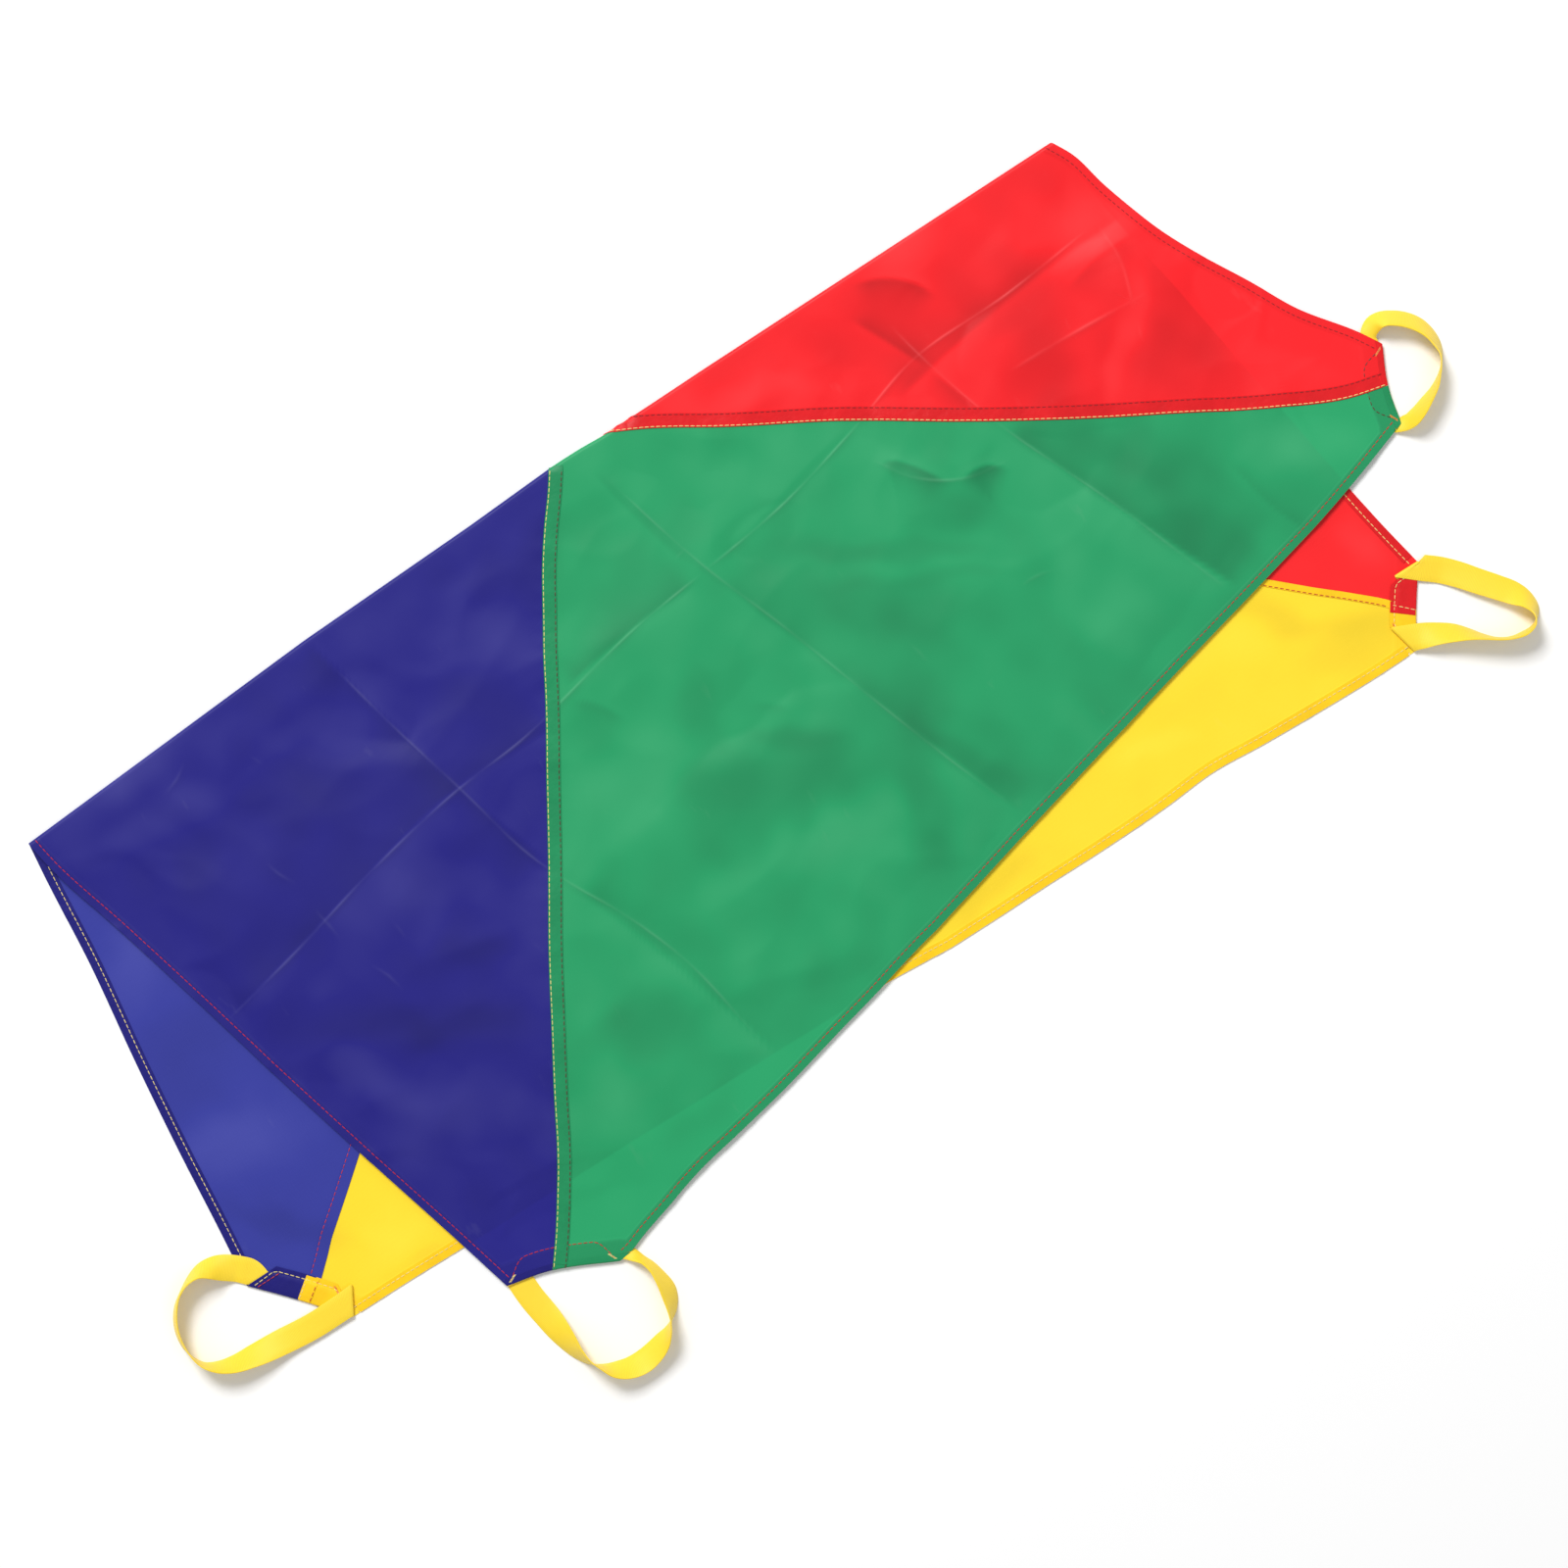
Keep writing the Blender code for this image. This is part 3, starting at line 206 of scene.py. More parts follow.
# Routes of the handles in their corner's directions: along, out, tilt in degrees, lift and width, in millimetres
ROUTES = {
    "red_green": (
        (-31, -8.6, 0, 2.0, 13), (-38, -9.4, 4, 1.7, 12), (-44.4, -5.8, 24, 0.8, 14), (-47.8, -1.2, 44, 0.2, 18),
        (-48.6, 4.4, 50, 0, 20), (-47.3, 11.4, 49, 0, 20), (-43.8, 20.6, 48, 0, 20), (-37.6, 29.3, 50, 0, 20),
        (-30.4, 35, 56, 0, 20), (-21.5, 38.7, 63, 0, 20), (-11.8, 39.8, 76, 0, 20), (-3.8, 37.8, 82, 0, 20),
        (3, 34.4, 88, 0, 20), (9.8, 30, 97, 0, 20), (19, 20.9, 110, 0, 20), (26.6, 12.4, 119, 0, 20),
        (30.6, 6.4, 132, 0.2, 17), (31.8, 0.6, 158, 0.5, 12), (31.2, -5, 176, 0.4, 11),
    ),
    "blue_green": (
        (-34.2, -2.2, 0, 0.0, 20), (-28.4, 11, 0, 0, 20), (-17.6, 30.2, 8, 0, 20), (-8.4, 46.8, 34, 0, 20),
        (-0.6, 59.8, 58, 0, 20), (6.4, 67.6, 74, 0, 20), (15.6, 73.2, 93, 0, 20), (25, 77.2, 118, 0, 20),
        (35, 78.6, 134, 0, 20), (46, 76.7, 146, 0, 20), (56, 71.4, 142, 0, 20), (64.2, 64.6, 129, 0, 20),
        (70, 58, 108, 0, 20), (73.8, 51.6, 91, 0, 20), (76.4, 42.6, 71, 0, 20), (76.8, 35, 60, 0, 20),
        (75.8, 27.2, 57, 0, 20), (72.4, 18.2, 63, 0, 18), (66.6, 7.8, 68, 0, 14), (60.4, 1.6, 62, 0.1, 11),
        (53, -3.6, 18, 0.8, 10), (44, -8.4, 0, 1.6, 12),
    ),
    "red_yellow": (
        (-29, 3.8, 0, 1.6, 20), (-28, 15.4, 0, 0.5, 20), (-25, 29, 6, 0, 20), (-20.2, 44, 12, 0, 20),
        (-15.6, 59, 17, 0, 20), (-11.4, 71.6, 24, 0, 20), (-6.8, 80.7, 44, 0, 20), (1, 87.3, 62, 0, 20),
        (6.6, 88.2, 76, 0, 20), (12.8, 86.4, 88, 0, 20), (18.4, 80.3, 97, 0, 20), (22.2, 71.5, 96, 0, 20),
        (23.4, 61.6, 97, 0, 20), (22.2, 50, 104, 0, 20), (20.4, 38.6, 118, 0, 20), (19.6, 28, 134, 0, 20),
        (20.8, 12, 152, 0.7, 20), (22.6, 1.6, 172, 1.8, 20),
    ),
    "blue_yellow": (
        (-27, -8.4, 0, 0.5, 11), (-31, -8.8, 0, 0.5, 13), (-36, -9.8, 0, 0.5, 17), (-42, -10.8, 0, 0.6, 20),
        (-52, -10.4, 0, 0.8, 20), (-61, -8.8, 14, 0.5, 20), (-70.4, -6.4, 40, 0.2, 20), (-78.6, -1.6, 62, 0, 20),
        (-84, 6.8, 76, 0, 20), (-87, 18, 82, 0, 20), (-87, 30.7, 76, 0, 20), (-81.6, 46, 73, 0, 20),
        (-70.4, 58.4, 76, 0, 20), (-55.4, 64.7, 90, 0, 20), (-44, 63, 108, 0, 20), (-33.8, 58.2, 124, 0, 20),
        (-20.4, 47.6, 144, 0, 20), (-4.6, 33.4, 166, 0.2, 20), (16.6, 13, 178, 1.4, 20), (26.6, 1.4, 180, 2.2, 20),
    ),
}
# Folds of the webbing beside a mouth: the ends of the folded edge, inside and outside, in the corner's directions
FOLDS = {
    "red_green": (None, None),
    "blue_green": (((-31.4, -17.6), (-43.6, 0.4)), None),
    "red_yellow": (((-21.5, -17.3), (-33.1, 0.2)), ((16.1, -19.1), (33.4, -0.5))),
    "blue_yellow": (None, ((33.5, -23.0), (41.2, -0.6))),
}
# The seams: name, panel of the felled strip, half, side of the cloth and thread of the second row
SEAMS = (
    ("blue_green", "green", "upper", 1, "dark_thread"),
    ("red_green", "red", "upper", 1, "deep_thread"),
    ("blue_yellow", "blue", "lower", -1, "red_thread"),
    ("red_yellow", "yellow", "lower", -1, "red_thread"),
)


def length(name, text, value):
    """A size that a user can change."""
    return FloatProperty(name=name, description=text, default=value, unit="LENGTH")


class ParachuteSizes(bpy.types.PropertyGroup):
    """Sizes of the cloth and webbing."""

    cloth: length("Cloth thickness", "Thickness of one layer of cloth", 0.0003)
    turned: length("Turned edge", "Thickness of the two turned layers of a hem or seam", 0.0005)
    hem: length("Hem width", "Width of the turned hem", 0.0084)
    hem_stitches: length("Hem stitching", "Distance of the hem's stitching from the edge", 0.0058)
    seam: length("Seam width", "Width of the flat felled seams", 0.0108)
    seam_blue: length("Blue seam strip", "Width of the strip inside between blue and yellow", 0.0092)
    seam_yellow: length("Yellow seam strip", "Width of the strip inside between red and yellow", 0.0058)
    seam_rows: length("Seam rows", "Distance between the two rows of stitches of a seam", 0.0088)
    stitch_pitch: length("Stitch pitch", "Distance from one stitch to the next", 0.0043)
    stitch: length("Stitch length", "Length of thread that shows of each stitch", 0.0034)
    thread: length("Thread", "Thickness of the sewing thread", 0.0007)
    webbing: length("Webbing width", "Width of the handles' webbing", 0.020)
    webbing_thickness: length("Webbing thickness", "Thickness of the handles' webbing", 0.0012)


def colour(name, text, value):
    """A colour that a user can change."""
    return FloatVectorProperty(name=name, description=text, subtype="COLOR", size=3, min=0, max=1, default=value)


class ParachuteColours(bpy.types.PropertyGroup):
    """Colours of the cloth, webbing and threads."""

    red: colour("Red cloth", "Outer side of the red panel", (0.83, 0.010, 0.015))
    red_inner: colour("Red inner side", "Inner side of the red panel", (0.89, 0.018, 0.022))
    green: colour("Green cloth", "Outer side of the green panel", (0.015, 0.310, 0.116))
    green_inner: colour("Green inner side", "Inner side of the green panel", (0.020, 0.320, 0.125))
    blue: colour("Blue cloth", "Outer side of the blue panel", (0.013, 0.011, 0.200))
    blue_inner: colour("Blue inner side", "Inner side of the blue panel", (0.036, 0.044, 0.310))
    yellow: colour("Yellow cloth", "Outer side of the yellow panel", (0.950, 0.640, 0.012))
    yellow_inner: colour("Yellow inner side", "Inner side of the yellow panel", (0.970, 0.690, 0.030))
    webbing: colour("Webbing", "The handles' webbing", (0.980, 0.690, 0.022))
    red_thread: colour("Red thread", "Thread of the outer hems", (0.55, 0.015, 0.020))
    deep_thread: colour("Deep red thread", "Thread on the red panel", (0.34, 0.008, 0.012))
    pale_thread: colour("Yellow thread", "Thread of the inner hems", (0.93, 0.74, 0.28))
    orange_thread: colour("Orange thread", "Thread of the corners' bar tacks", (0.85, 0.28, 0.05))
    dark_thread: colour("Dark thread", "Thread of the seams' second rows", (0.10, 0.015, 0.010))


def sizes():
    """The sizes that are set."""
    return bpy.context.scene.parachute_sizes


def mm(value):
    """Metres as millimetres."""
    return value / MM


def line_of(points):
    """Points as an array."""
    return np.array(points, float)


def unit(vectors):
    """The vectors' directions."""
    return vectors / np.linalg.norm(vectors, axis=-1)[..., None]


def smooth(points, step=3.0):
    """A smooth line through points, with a point about every step."""
    p = line_of(points)
    gaps = np.linalg.norm(np.diff(p[:, :2], axis=0), axis=1)[:, None]
    slopes = np.diff(p, axis=0) / gaps
    inner = (slopes[:-1] * gaps[1:] + slopes[1:] * gaps[:-1]) / (gaps[:-1] + gaps[1:])
    turns = np.vstack([slopes[:1], inner, slopes[-1:]])
    made = []
    for k, gap in enumerate(gaps[:, 0]):
        t = np.linspace(0, 1, max(1, int(round(gap / step))) + 1)[:-1, None]
        made.append(
            p[k] * (1 - 3 * t**2 + 2 * t**3) + p[k + 1] * (3 * t**2 - 2 * t**3)
            + turns[k] * gap * (t - 2 * t**2 + t**3) + turns[k + 1] * gap * (t**3 - t**2)
        )
    return np.vstack(made + [p[-1:]])


def steps_of(line, directions=2):
    """How far along a line its points are, seen in its first two directions or in all three."""
    return np.r_[0, np.cumsum(np.linalg.norm(np.diff(line[:, :directions], axis=0), axis=1))]


def on_line(line, shares):
    """Places at shares of a line's length."""
    steps = steps_of(line)
    wanted = np.asarray(shares) * steps[-1]
    return np.stack([np.interp(wanted, steps, line[:, k]) for k in range(line.shape[1])], -1)


def spaced(line, step):
    """The line with its points about a step apart."""
    count = max(2, int(round(steps_of(line)[-1] / step)))
    return on_line(line, np.linspace(0, 1, count + 1))


# A place near the middle of each panel, on either half
PANEL_MIDDLES = {"blue": (180, 130), "red": (880, 110), "green": (600, 300), "yellow": (450, 330)}


def into(line, distance, panel):
    """The line moved sideways, towards the middle of a panel."""
    middle = np.array(PANEL_MIDDLES[panel], float)
    middle[1] *= np.sign(line[:, 1].mean())
    way = unit(np.gradient(line, axis=0))
    normal = np.stack([-way[:, 1], way[:, 0]], -1)
    half = len(line) // 2
    return line + normal * distance * np.sign((middle - line[half]) @ normal[half])


def ease(t):
    """A soft step from 0 to 1."""
    t = np.clip(t, 0, 1)
    return t * t * (3 - 2 * t)


# The map of the cloth's relief: its first place, spacing and size, in millimetres
MAP_START = (-70.0, -530.0)
MAP_STEP = 1.0
MAP_SIZE = (1150, 560)
MAP_X, MAP_Y = np.meshgrid(
    *(start + MAP_STEP * np.arange(size) for start, size in zip(MAP_START, MAP_SIZE)), indexing="ij"
)
FAR = 1e3


def distance_to(line, reach):
    """Distance from a line, side of it and length along it over the map, as far as it reaches."""
    best = np.full(MAP_SIZE, FAR)
    side, place = np.zeros(MAP_SIZE), np.zeros(MAP_SIZE)
    steps = steps_of(line)
    for k, (a, b) in enumerate(zip(line[:-1], line[1:])):
        part = tuple(
            slice(*(
                int(max(0, (edge - MAP_START[n]) // MAP_STEP))
                for edge in (min(a[n], b[n]) - reach, max(a[n], b[n]) + reach)
            ))
            for n in (0, 1)
        )
        x, y = MAP_X[part] - a[0], MAP_Y[part] - a[1]
        way = b - a
        span = max(np.hypot(*way), 1e-9)
        t = np.clip((x * way[0] + y * way[1]) / span**2, 0, 1)
        d = np.hypot(x - way[0] * t, y - way[1] * t)
        near = d < best[part]
        for field, value in ((best, d), (side, x * way[1] - y * way[0] > 0), (place, steps[k] + t * span)):
            field[part] = np.where(near, value, field[part])
    return best, side, place


# Heights of the two halves above the floor as the frame's solids have them, and the fold's roll, in millimetres
LOWER = 0.2
UPPER = 3.6
ROLL = 2.9
ROLL_MIDDLE = LOWER + ROLL
ROLL_TOP = LOWER + 2 * ROLL
ARC = ROLL * pi / 2
# How far past the roll the upper half has come down, and from where both halves have plain rows
FOLD_EASE = 70.0
FLAT_FROM = 12.0
LOW_FROM = 16.8
# The hinge's distance behind the fold's ends, and the heights between which the cloth's rows lie close together, where
# the real cloth turns with it
HINGE_OUT = 12.7
TURN = (1.65, 2.25)
FOLD_LENGTH = 934.0
HINGE = next(joint for joint in frame["joints"] if joint["name"] == "canopy_unfold")["pos_m"]
SHIFT = np.array([HINGE[0] - FOLD_LENGTH / 2 * MM, HINGE[1] - HINGE_OUT * MM, 0])
RIDGE_LINE = line_of(RIDGE)


def ridge(x):
    """How far out the fold's ridge lies."""
    return np.interp(x, RIDGE_LINE[:, 0], RIDGE_LINE[:, 1])


def flat(points, half):
    """An outline seen from above as places on the cloth: along the fold, and from the fold's ridge."""
    p = line_of(points)
    inside = ridge(p[:, 0]) - p[:, 1]
    back = np.where(inside < ROLL, ARC * inside / ROLL, np.maximum(inside - ROLL, 0) + ARC)
    return np.stack([p[:, 0], back if half == "upper" else -back], -1)


WAVES = 26
WAVE_SPREAD = (0.7, 1.6)


def bumps(size, seed):
    """Smooth chance unevenness over the map, about 1 high, of a given size in millimetres."""
    chance = np.random.default_rng(seed)
    height = np.zeros(MAP_SIZE)
    for _ in range(WAVES):
        turn, phase = chance.uniform(0, 2 * pi, 2)
        reach = size * chance.uniform(*WAVE_SPREAD)
        height += np.sin((MAP_X * cos(turn) + MAP_Y * sin(turn)) * 2 * pi / reach + phase)
    return height / WAVES**0.5


def within(outline):
    """Whether each place of the map lies inside a closed outline."""
    found = np.zeros(MAP_SIZE, bool)
    for a, b in zip(outline, np.roll(outline, -1, axis=0)):
        if a[1] != b[1]:
            between = (MAP_Y < a[1]) != (MAP_Y < b[1])
            found ^= between & (MAP_X < a[0] + (b[0] - a[0]) * (MAP_Y - a[1]) / (b[1] - a[1]))
    return found


# The relief's own measures: depth of the chance crumple, and unevenness of the tone
CRUMPLE = 1.1
TONE_UNEVENNESS = 0.014
# How much wider than its row a swell or veil is, and how firm its border
SWELL_SPREAD = 1.15
SWELL_BORDER = 1.3
# A painted shade's run-out and turn-over, and the strength and reach of its other side, painted the other way
SHADE_ENDS = 18
SHADE_TURN = 1.6
SHADE_OTHER = (0.4, 0.45)
# A crease's height against its row, its run-out and the roundness of its crest
CREASE_HEIGHT = 1.7
CREASE_ENDS = 30
CREST = 3.0
# How far from a crease its marks, a pale line and a painted shade, show and over what distance they fade
MARK_REACH, MARK_FADE = 14, 5
# The pucker beside a seam, its height and reach
PUCKER, PUCKER_REACH = 0.14, 7
# As far as distances from creases, edges and the cloth beneath are kept
CREASE_KEPT, EDGE_KEPT, BENEATH_KEPT = 40, 60, 20
CREASE_KINDS = ("long", "cross", "small")
FIELDS = (
    *("crease_" + kind for kind in CREASE_KINDS), *("strength_" + kind for kind in CREASE_KINDS),
    "edge", "beneath", "tone",
)
# The fields' values on cloth without creases, and the maps of both halves once they are made
PLAIN = {name: np.full(1, 0.0 if name == "tone" else float(CREASE_KEPT)) for name in FIELDS}
MAPS = {}


def relief_map(creases, swells, painted_veils, painted_shades, seams, edges, cuts, rough, beneath=None):
    """Maps of the cloth's height, of its tone with painted light and shade, and of the distances from its creases,
    edges and the cloth beneath.
    """
    crumpled = np.sqrt(bumps(120, 9) ** 2 + 0.003) + 0.4 * np.sqrt(bumps(66, 12) ** 2 + 0.004)
    height = rough * (0.8 * bumps(130, 3) + 0.2 * bumps(60, 5) - CRUMPLE * crumpled)
    tone = TONE_UNEVENNESS * rough * (bumps(90, 21) + bumps(44, 22))
    bent_x, bent_y = (
        place + 5 * bumps(90, seed) + 2 * bumps(34, seed + 2) for place, seed in ((MAP_X, 31), (MAP_Y, 32))
    )
    # Swells raise the cloth; veils paint light and shade into its tone
    for field, rows in ((height, swells), (tone, painted_veils)):
        for cx, cy, long, short, turn, amount in rows:
            c, s = cos(radians(turn)), sin(radians(turn))
            a = ((bent_x - cx) * c + (bent_y - cy) * s) / (SWELL_SPREAD * long)
            b = ((bent_y - cy) * c - (bent_x - cx) * s) / (SWELL_SPREAD * short)
            field += amount * np.exp(-((a**2 + b**2) ** SWELL_BORDER))
    # Painted shade beside each fold on its right-hand side, and painted light on its other side
    for amount, reach, points in painted_shades:
        line = smooth(points, 6)
        d, side, s = distance_to(line, 4 * reach)
        ends = ease(np.minimum(s, steps_of(line)[-1] - s) / SHADE_ENDS)
        share = 0.5 + 0.5 * np.tanh(np.where(side > 0, d, -d) / SHADE_TURN)
        other = SHADE_OTHER[0] * (1 - share) * np.exp(-d / (SHADE_OTHER[1] * reach))
        tone += amount * ends * (share * np.exp(-d / reach) - other)
    maps = {"height": height, "tone": tone, "beneath": np.full(MAP_SIZE, float(CREASE_KEPT))}
    for kind in (*CREASE_KINDS, "soft"):
        nearest, strength = np.full(MAP_SIZE, FAR), np.zeros(MAP_SIZE)
        for _, tall, width, points in (row for row in creases if row[0] == kind):
            line = smooth(points, 8)
            d, side, s = distance_to(line, 5 * width)
            ends = np.clip(np.minimum(s, steps_of(line)[-1] - s) / CREASE_ENDS, 0, 1)
            wave = (0.8 + 0.2 * np.sin(s / 31 + tall * 9)) * (0.15 + 0.85 * ends)
            height += CREASE_HEIGHT * tall * wave * np.exp(-(np.sqrt(d**2 + CREST**2) - CREST) / width)
            nearer = d < np.abs(nearest)
            nearest = np.where(nearer, np.where(side > 0, d, -d), nearest)
            marked = ends * (0.62 + 0.38 * np.sin(s / 9.3 + tall * 5)) * ease((MARK_REACH - d) / MARK_FADE)
            strength = np.where(nearer, marked, strength)
        if kind in CREASE_KINDS:
            maps["crease_" + kind] = np.clip(nearest, -CREASE_KEPT, CREASE_KEPT)
            maps["strength_" + kind] = strength
    for line in seams:
        d, _, s = distance_to(line, EDGE_KEPT)
        wave = np.sin(s / 2.3 + 1.7 * np.sin(s / 19)) + 0.8 * np.sin(s / 4.9 + 2) + 0.5 * np.sin(s / 11)
        height += PUCKER * wave * np.exp(-d / PUCKER_REACH)
    near = [distance_to(line, EDGE_KEPT)[0] for line in edges]
    near += [distance_to(line, EDGE_KEPT)[0] / 2 for line in cuts]
    maps["edge"] = np.minimum.reduce(near).clip(0, EDGE_KEPT)
    if beneath is not None:
        d = distance_to(np.vstack([beneath, beneath[:1]]), BENEATH_KEPT)[0].clip(0, BENEATH_KEPT)
        maps["beneath"] = np.where(within(beneath), d, -d)
    return maps


def on_map(half, name, x, y):
    """A map's value at places."""
    values = MAPS[half][name]
    fx, fy = (
        np.clip((place - start) / MAP_STEP, 0, size - 1.001)
        for place, start, size in zip((x, y), MAP_START, MAP_SIZE)
    )
    i, j = fx.astype(int), fy.astype(int)
    u, v = fx - i, fy - j
    low = values[i, j] * (1 - u) + values[i + 1, j] * u
    high = values[i, j + 1] * (1 - u) + values[i + 1, j + 1] * u
    return low * (1 - v) + high * v


def round_fold(back):
    """The angle round the fold's roll."""
    return np.clip(back / ROLL, -pi / 2, pi / 2)


def plan(x, back):
    """Places on the cloth as they are seen from above, and how far past the fold's roll they are."""
    beyond = np.maximum(np.abs(back) - ARC, 0)
    return ridge(x) - ROLL + ROLL * np.cos(round_fold(back)) - beyond, beyond


# The relief's least and greatest height, how much the cloth rises inside its edge, and where it starts past the roll
LOWEST, HIGHEST = -0.25, 4.6
RISE, RISE_FROM, RISE_OVER = 1.6, 6, 50
RELIEF_FROM, RELIEF_OVER = 6, 40


def lie(x, back):
    """Where places on the cloth lie, in millimetres."""
    y, beyond = plan(x, back)
    z = ROLL_MIDDLE + ROLL * np.sin(round_fold(back))
    settle = (1 - np.cos(pi * np.clip(beyond / FOLD_EASE, 0, 1))) / 2
    fade = ease((beyond - RELIEF_FROM) / RELIEF_OVER)
    rise = RISE * ease((on_map("upper", "edge", x, y) - RISE_FROM) / RISE_OVER)
    relief = np.maximum(on_map("upper", "height", x, y) + rise, LOWEST)
    relief = np.where(relief > 0, HIGHEST * np.tanh(relief / HIGHEST), relief)
    up = ROLL_TOP + (UPPER - ROLL_TOP) * settle + relief * fade
    low = LOWER + np.clip(on_map("lower", "height", x, y), 0, 1) * fade
    z = np.where(back > ARC, up, np.where(back < -ARC, low, z))
    return np.stack([x, y, z], -1)


def fields(x, back):
    """The maps' values at places on the cloth, by name."""
    y, _ = plan(x, back)
    return {name: np.where(back > 0, on_map("upper", name, x, y), on_map("lower", name, x, y)) for name in FIELDS}


PROBE = 0.4


def outward(x, back):
    """Direction square to the cloth, towards the canopy's outer side."""
    across = lie(x + PROBE, back) - lie(x - PROBE, back)
    along = lie(x, back + PROBE) - lie(x, back - PROBE)
    return unit(np.cross(along, across))


def square_to(net):
    """Directions square to a net of places."""
    return unit(np.cross(np.gradient(net, axis=0), np.gradient(net, axis=1)))


def placed(points):
    """Places in the frame, from millimetres along the fold and back from it."""
    return np.asarray(points) * MM + SHIFT


SHARP_ANGLE = radians(42)


def mesh_piece(name, points, faces, material):
    """A piece at the origin, its place in its mesh, with its faces outward."""
    data = bpy.data.meshes.new(name)
    data.from_pydata(points.tolist(), [], faces)
    made = bpy.data.objects.new(name, data)
    bpy.context.collection.objects.link(made)
    mesh = bmesh.new()
    mesh.from_mesh(data)
    if mesh.calc_volume(signed=True) < 0:
        bmesh.ops.reverse_faces(mesh, faces=mesh.faces[:])
    mesh.to_mesh(data)
    mesh.free()
    data.shade_smooth()
    data.set_sharp_from_angle(angle=SHARP_ANGLE)
    data.materials.append(material)
    return made


def shell(name, near, far, material, inner_material=None, values=None):
    """A closed thin piece between two skins, each a grid of places in millimetres."""
    rows, columns = near.shape[:2]
    count = rows * columns
    index = np.arange(count).reshape(rows, columns)
    a, b, c, d = (index[part].ravel() for part in (np.s_[:-1, :-1], np.s_[:-1, 1:], np.s_[1:, 1:], np.s_[1:, :-1]))
    border = np.r_[index[0, :], index[1:, -1], index[-1, -2::-1], index[-2:0:-1, 0]]
    after = np.roll(border, -1)
    faces = np.concatenate([
        np.stack([a, b, c, d], -1), np.stack([a, d, c, b], -1) + count,
        np.stack([after, border, border + count, after + count], -1),
    ])
    points = placed(np.concatenate([near.reshape(-1, 3), far.reshape(-1, 3)]))
    made = mesh_piece(name, points, faces.tolist(), material)
    if inner_material:
        made.data.materials.append(inner_material)
        kinds = np.zeros(len(made.data.polygons), np.int32)
        kinds[: len(a)] = 1
        made.data.polygons.foreach_set("material_index", kinds)
    for key, value in (values or {}).items():
        attribute = made.data.attributes.new(key, "FLOAT", "POINT")
        spread = np.broadcast_to(value, (rows, columns)).ravel().astype(np.float32)
        attribute.data.foreach_set("value", np.tile(spread, 2))
    return made


def layer(name, net, low, high, material, inner_material=None):
    """A layer of cloth over a net of places, from low to high above the cloth's middle on its outer side."""
    x, back = net[..., 0], net[..., 1]
    points, normal = lie(x, back), outward(x, back)
    return shell(name, points + normal * low, points + normal * high, material, inner_material, fields(x, back))


def portion(line, low, high):
    """The stretch of a line whose distance from the ridge is between two values."""
    if line[0, 1] > line[-1, 1]:
        line = line[::-1]
    inner = line[(line[:, 1] > low) & (line[:, 1] < high)]
    ends = [np.array([np.interp(g, line[:, 1], line[:, 0]), g]) for g in (low, high)]
    return np.vstack([ends[0], inner, ends[1]])


def patch(top, bottom, left, right, u, v):
    """Places between four border lines at shares u across and v down."""
    u, v = u[..., None], v[..., None]
    sides = on_line(left, v[..., 0]) * (1 - u) + on_line(right, v[..., 0]) * u
    ends = on_line(top, u[..., 0]) * (1 - v) + on_line(bottom, u[..., 0]) * v
    upper, lower = (line[0] * (1 - u) + line[-1] * u for line in (top, bottom))
    return sides + ends - upper * (1 - v) - lower * v


# The casings at the cut corners, in millimetres from the cut: radius of the turned cloth, middle of the webbing,
# row of stitches, end of the flap, and how far the mouth moves along for each millimetre inwards
TURN_RADIUS = 1.1
CHANNEL = 8.5
STITCH_DEPTH = 16.6
FLAP_DEPTH = 20.5
MOUTH_SLANT = 0.85
# Where the panels, the hems and the hems' stitches end beside a cut, and the gap of a panel from its seam's line
PANEL_END = 5.0
HEM_END = 5.2
HEM_STITCH_END = 2.5
SEAM_GAP = 0.15
# How the cut curves from its mouths to the seam, and the number of sections round the casing's turn
CUT_CURVE = 1.3
TURN_SECTIONS = 9


def casing_profile():
    """The turned cloth of a casing, from the panel's end round the cut and back: depth, height, share of the flap."""
    rows = [(PANEL_END, 0, 0), (3.4, 0, 0)]
    for angle in np.linspace(0, pi, TURN_SECTIONS):
        depth = TURN_RADIUS + 0.2 - TURN_RADIUS * sin(angle)
        rows.append((depth, TURN_RADIUS * (1 - cos(angle)), ease(angle / pi)))
    top = 2 * TURN_RADIUS
    rows += [(5, top + 0.1, 1), (8, top + 0.1, 1), (12, top + 0.05, 1), (14.8, top, 1), (15.7, top * 0.8, 1)]
    rows += [(STITCH_DEPTH, 0.9, 1), (18.5, 1.05, 1), (FLAP_DEPTH, 0.95, 1)]
    return np.array(rows, float)


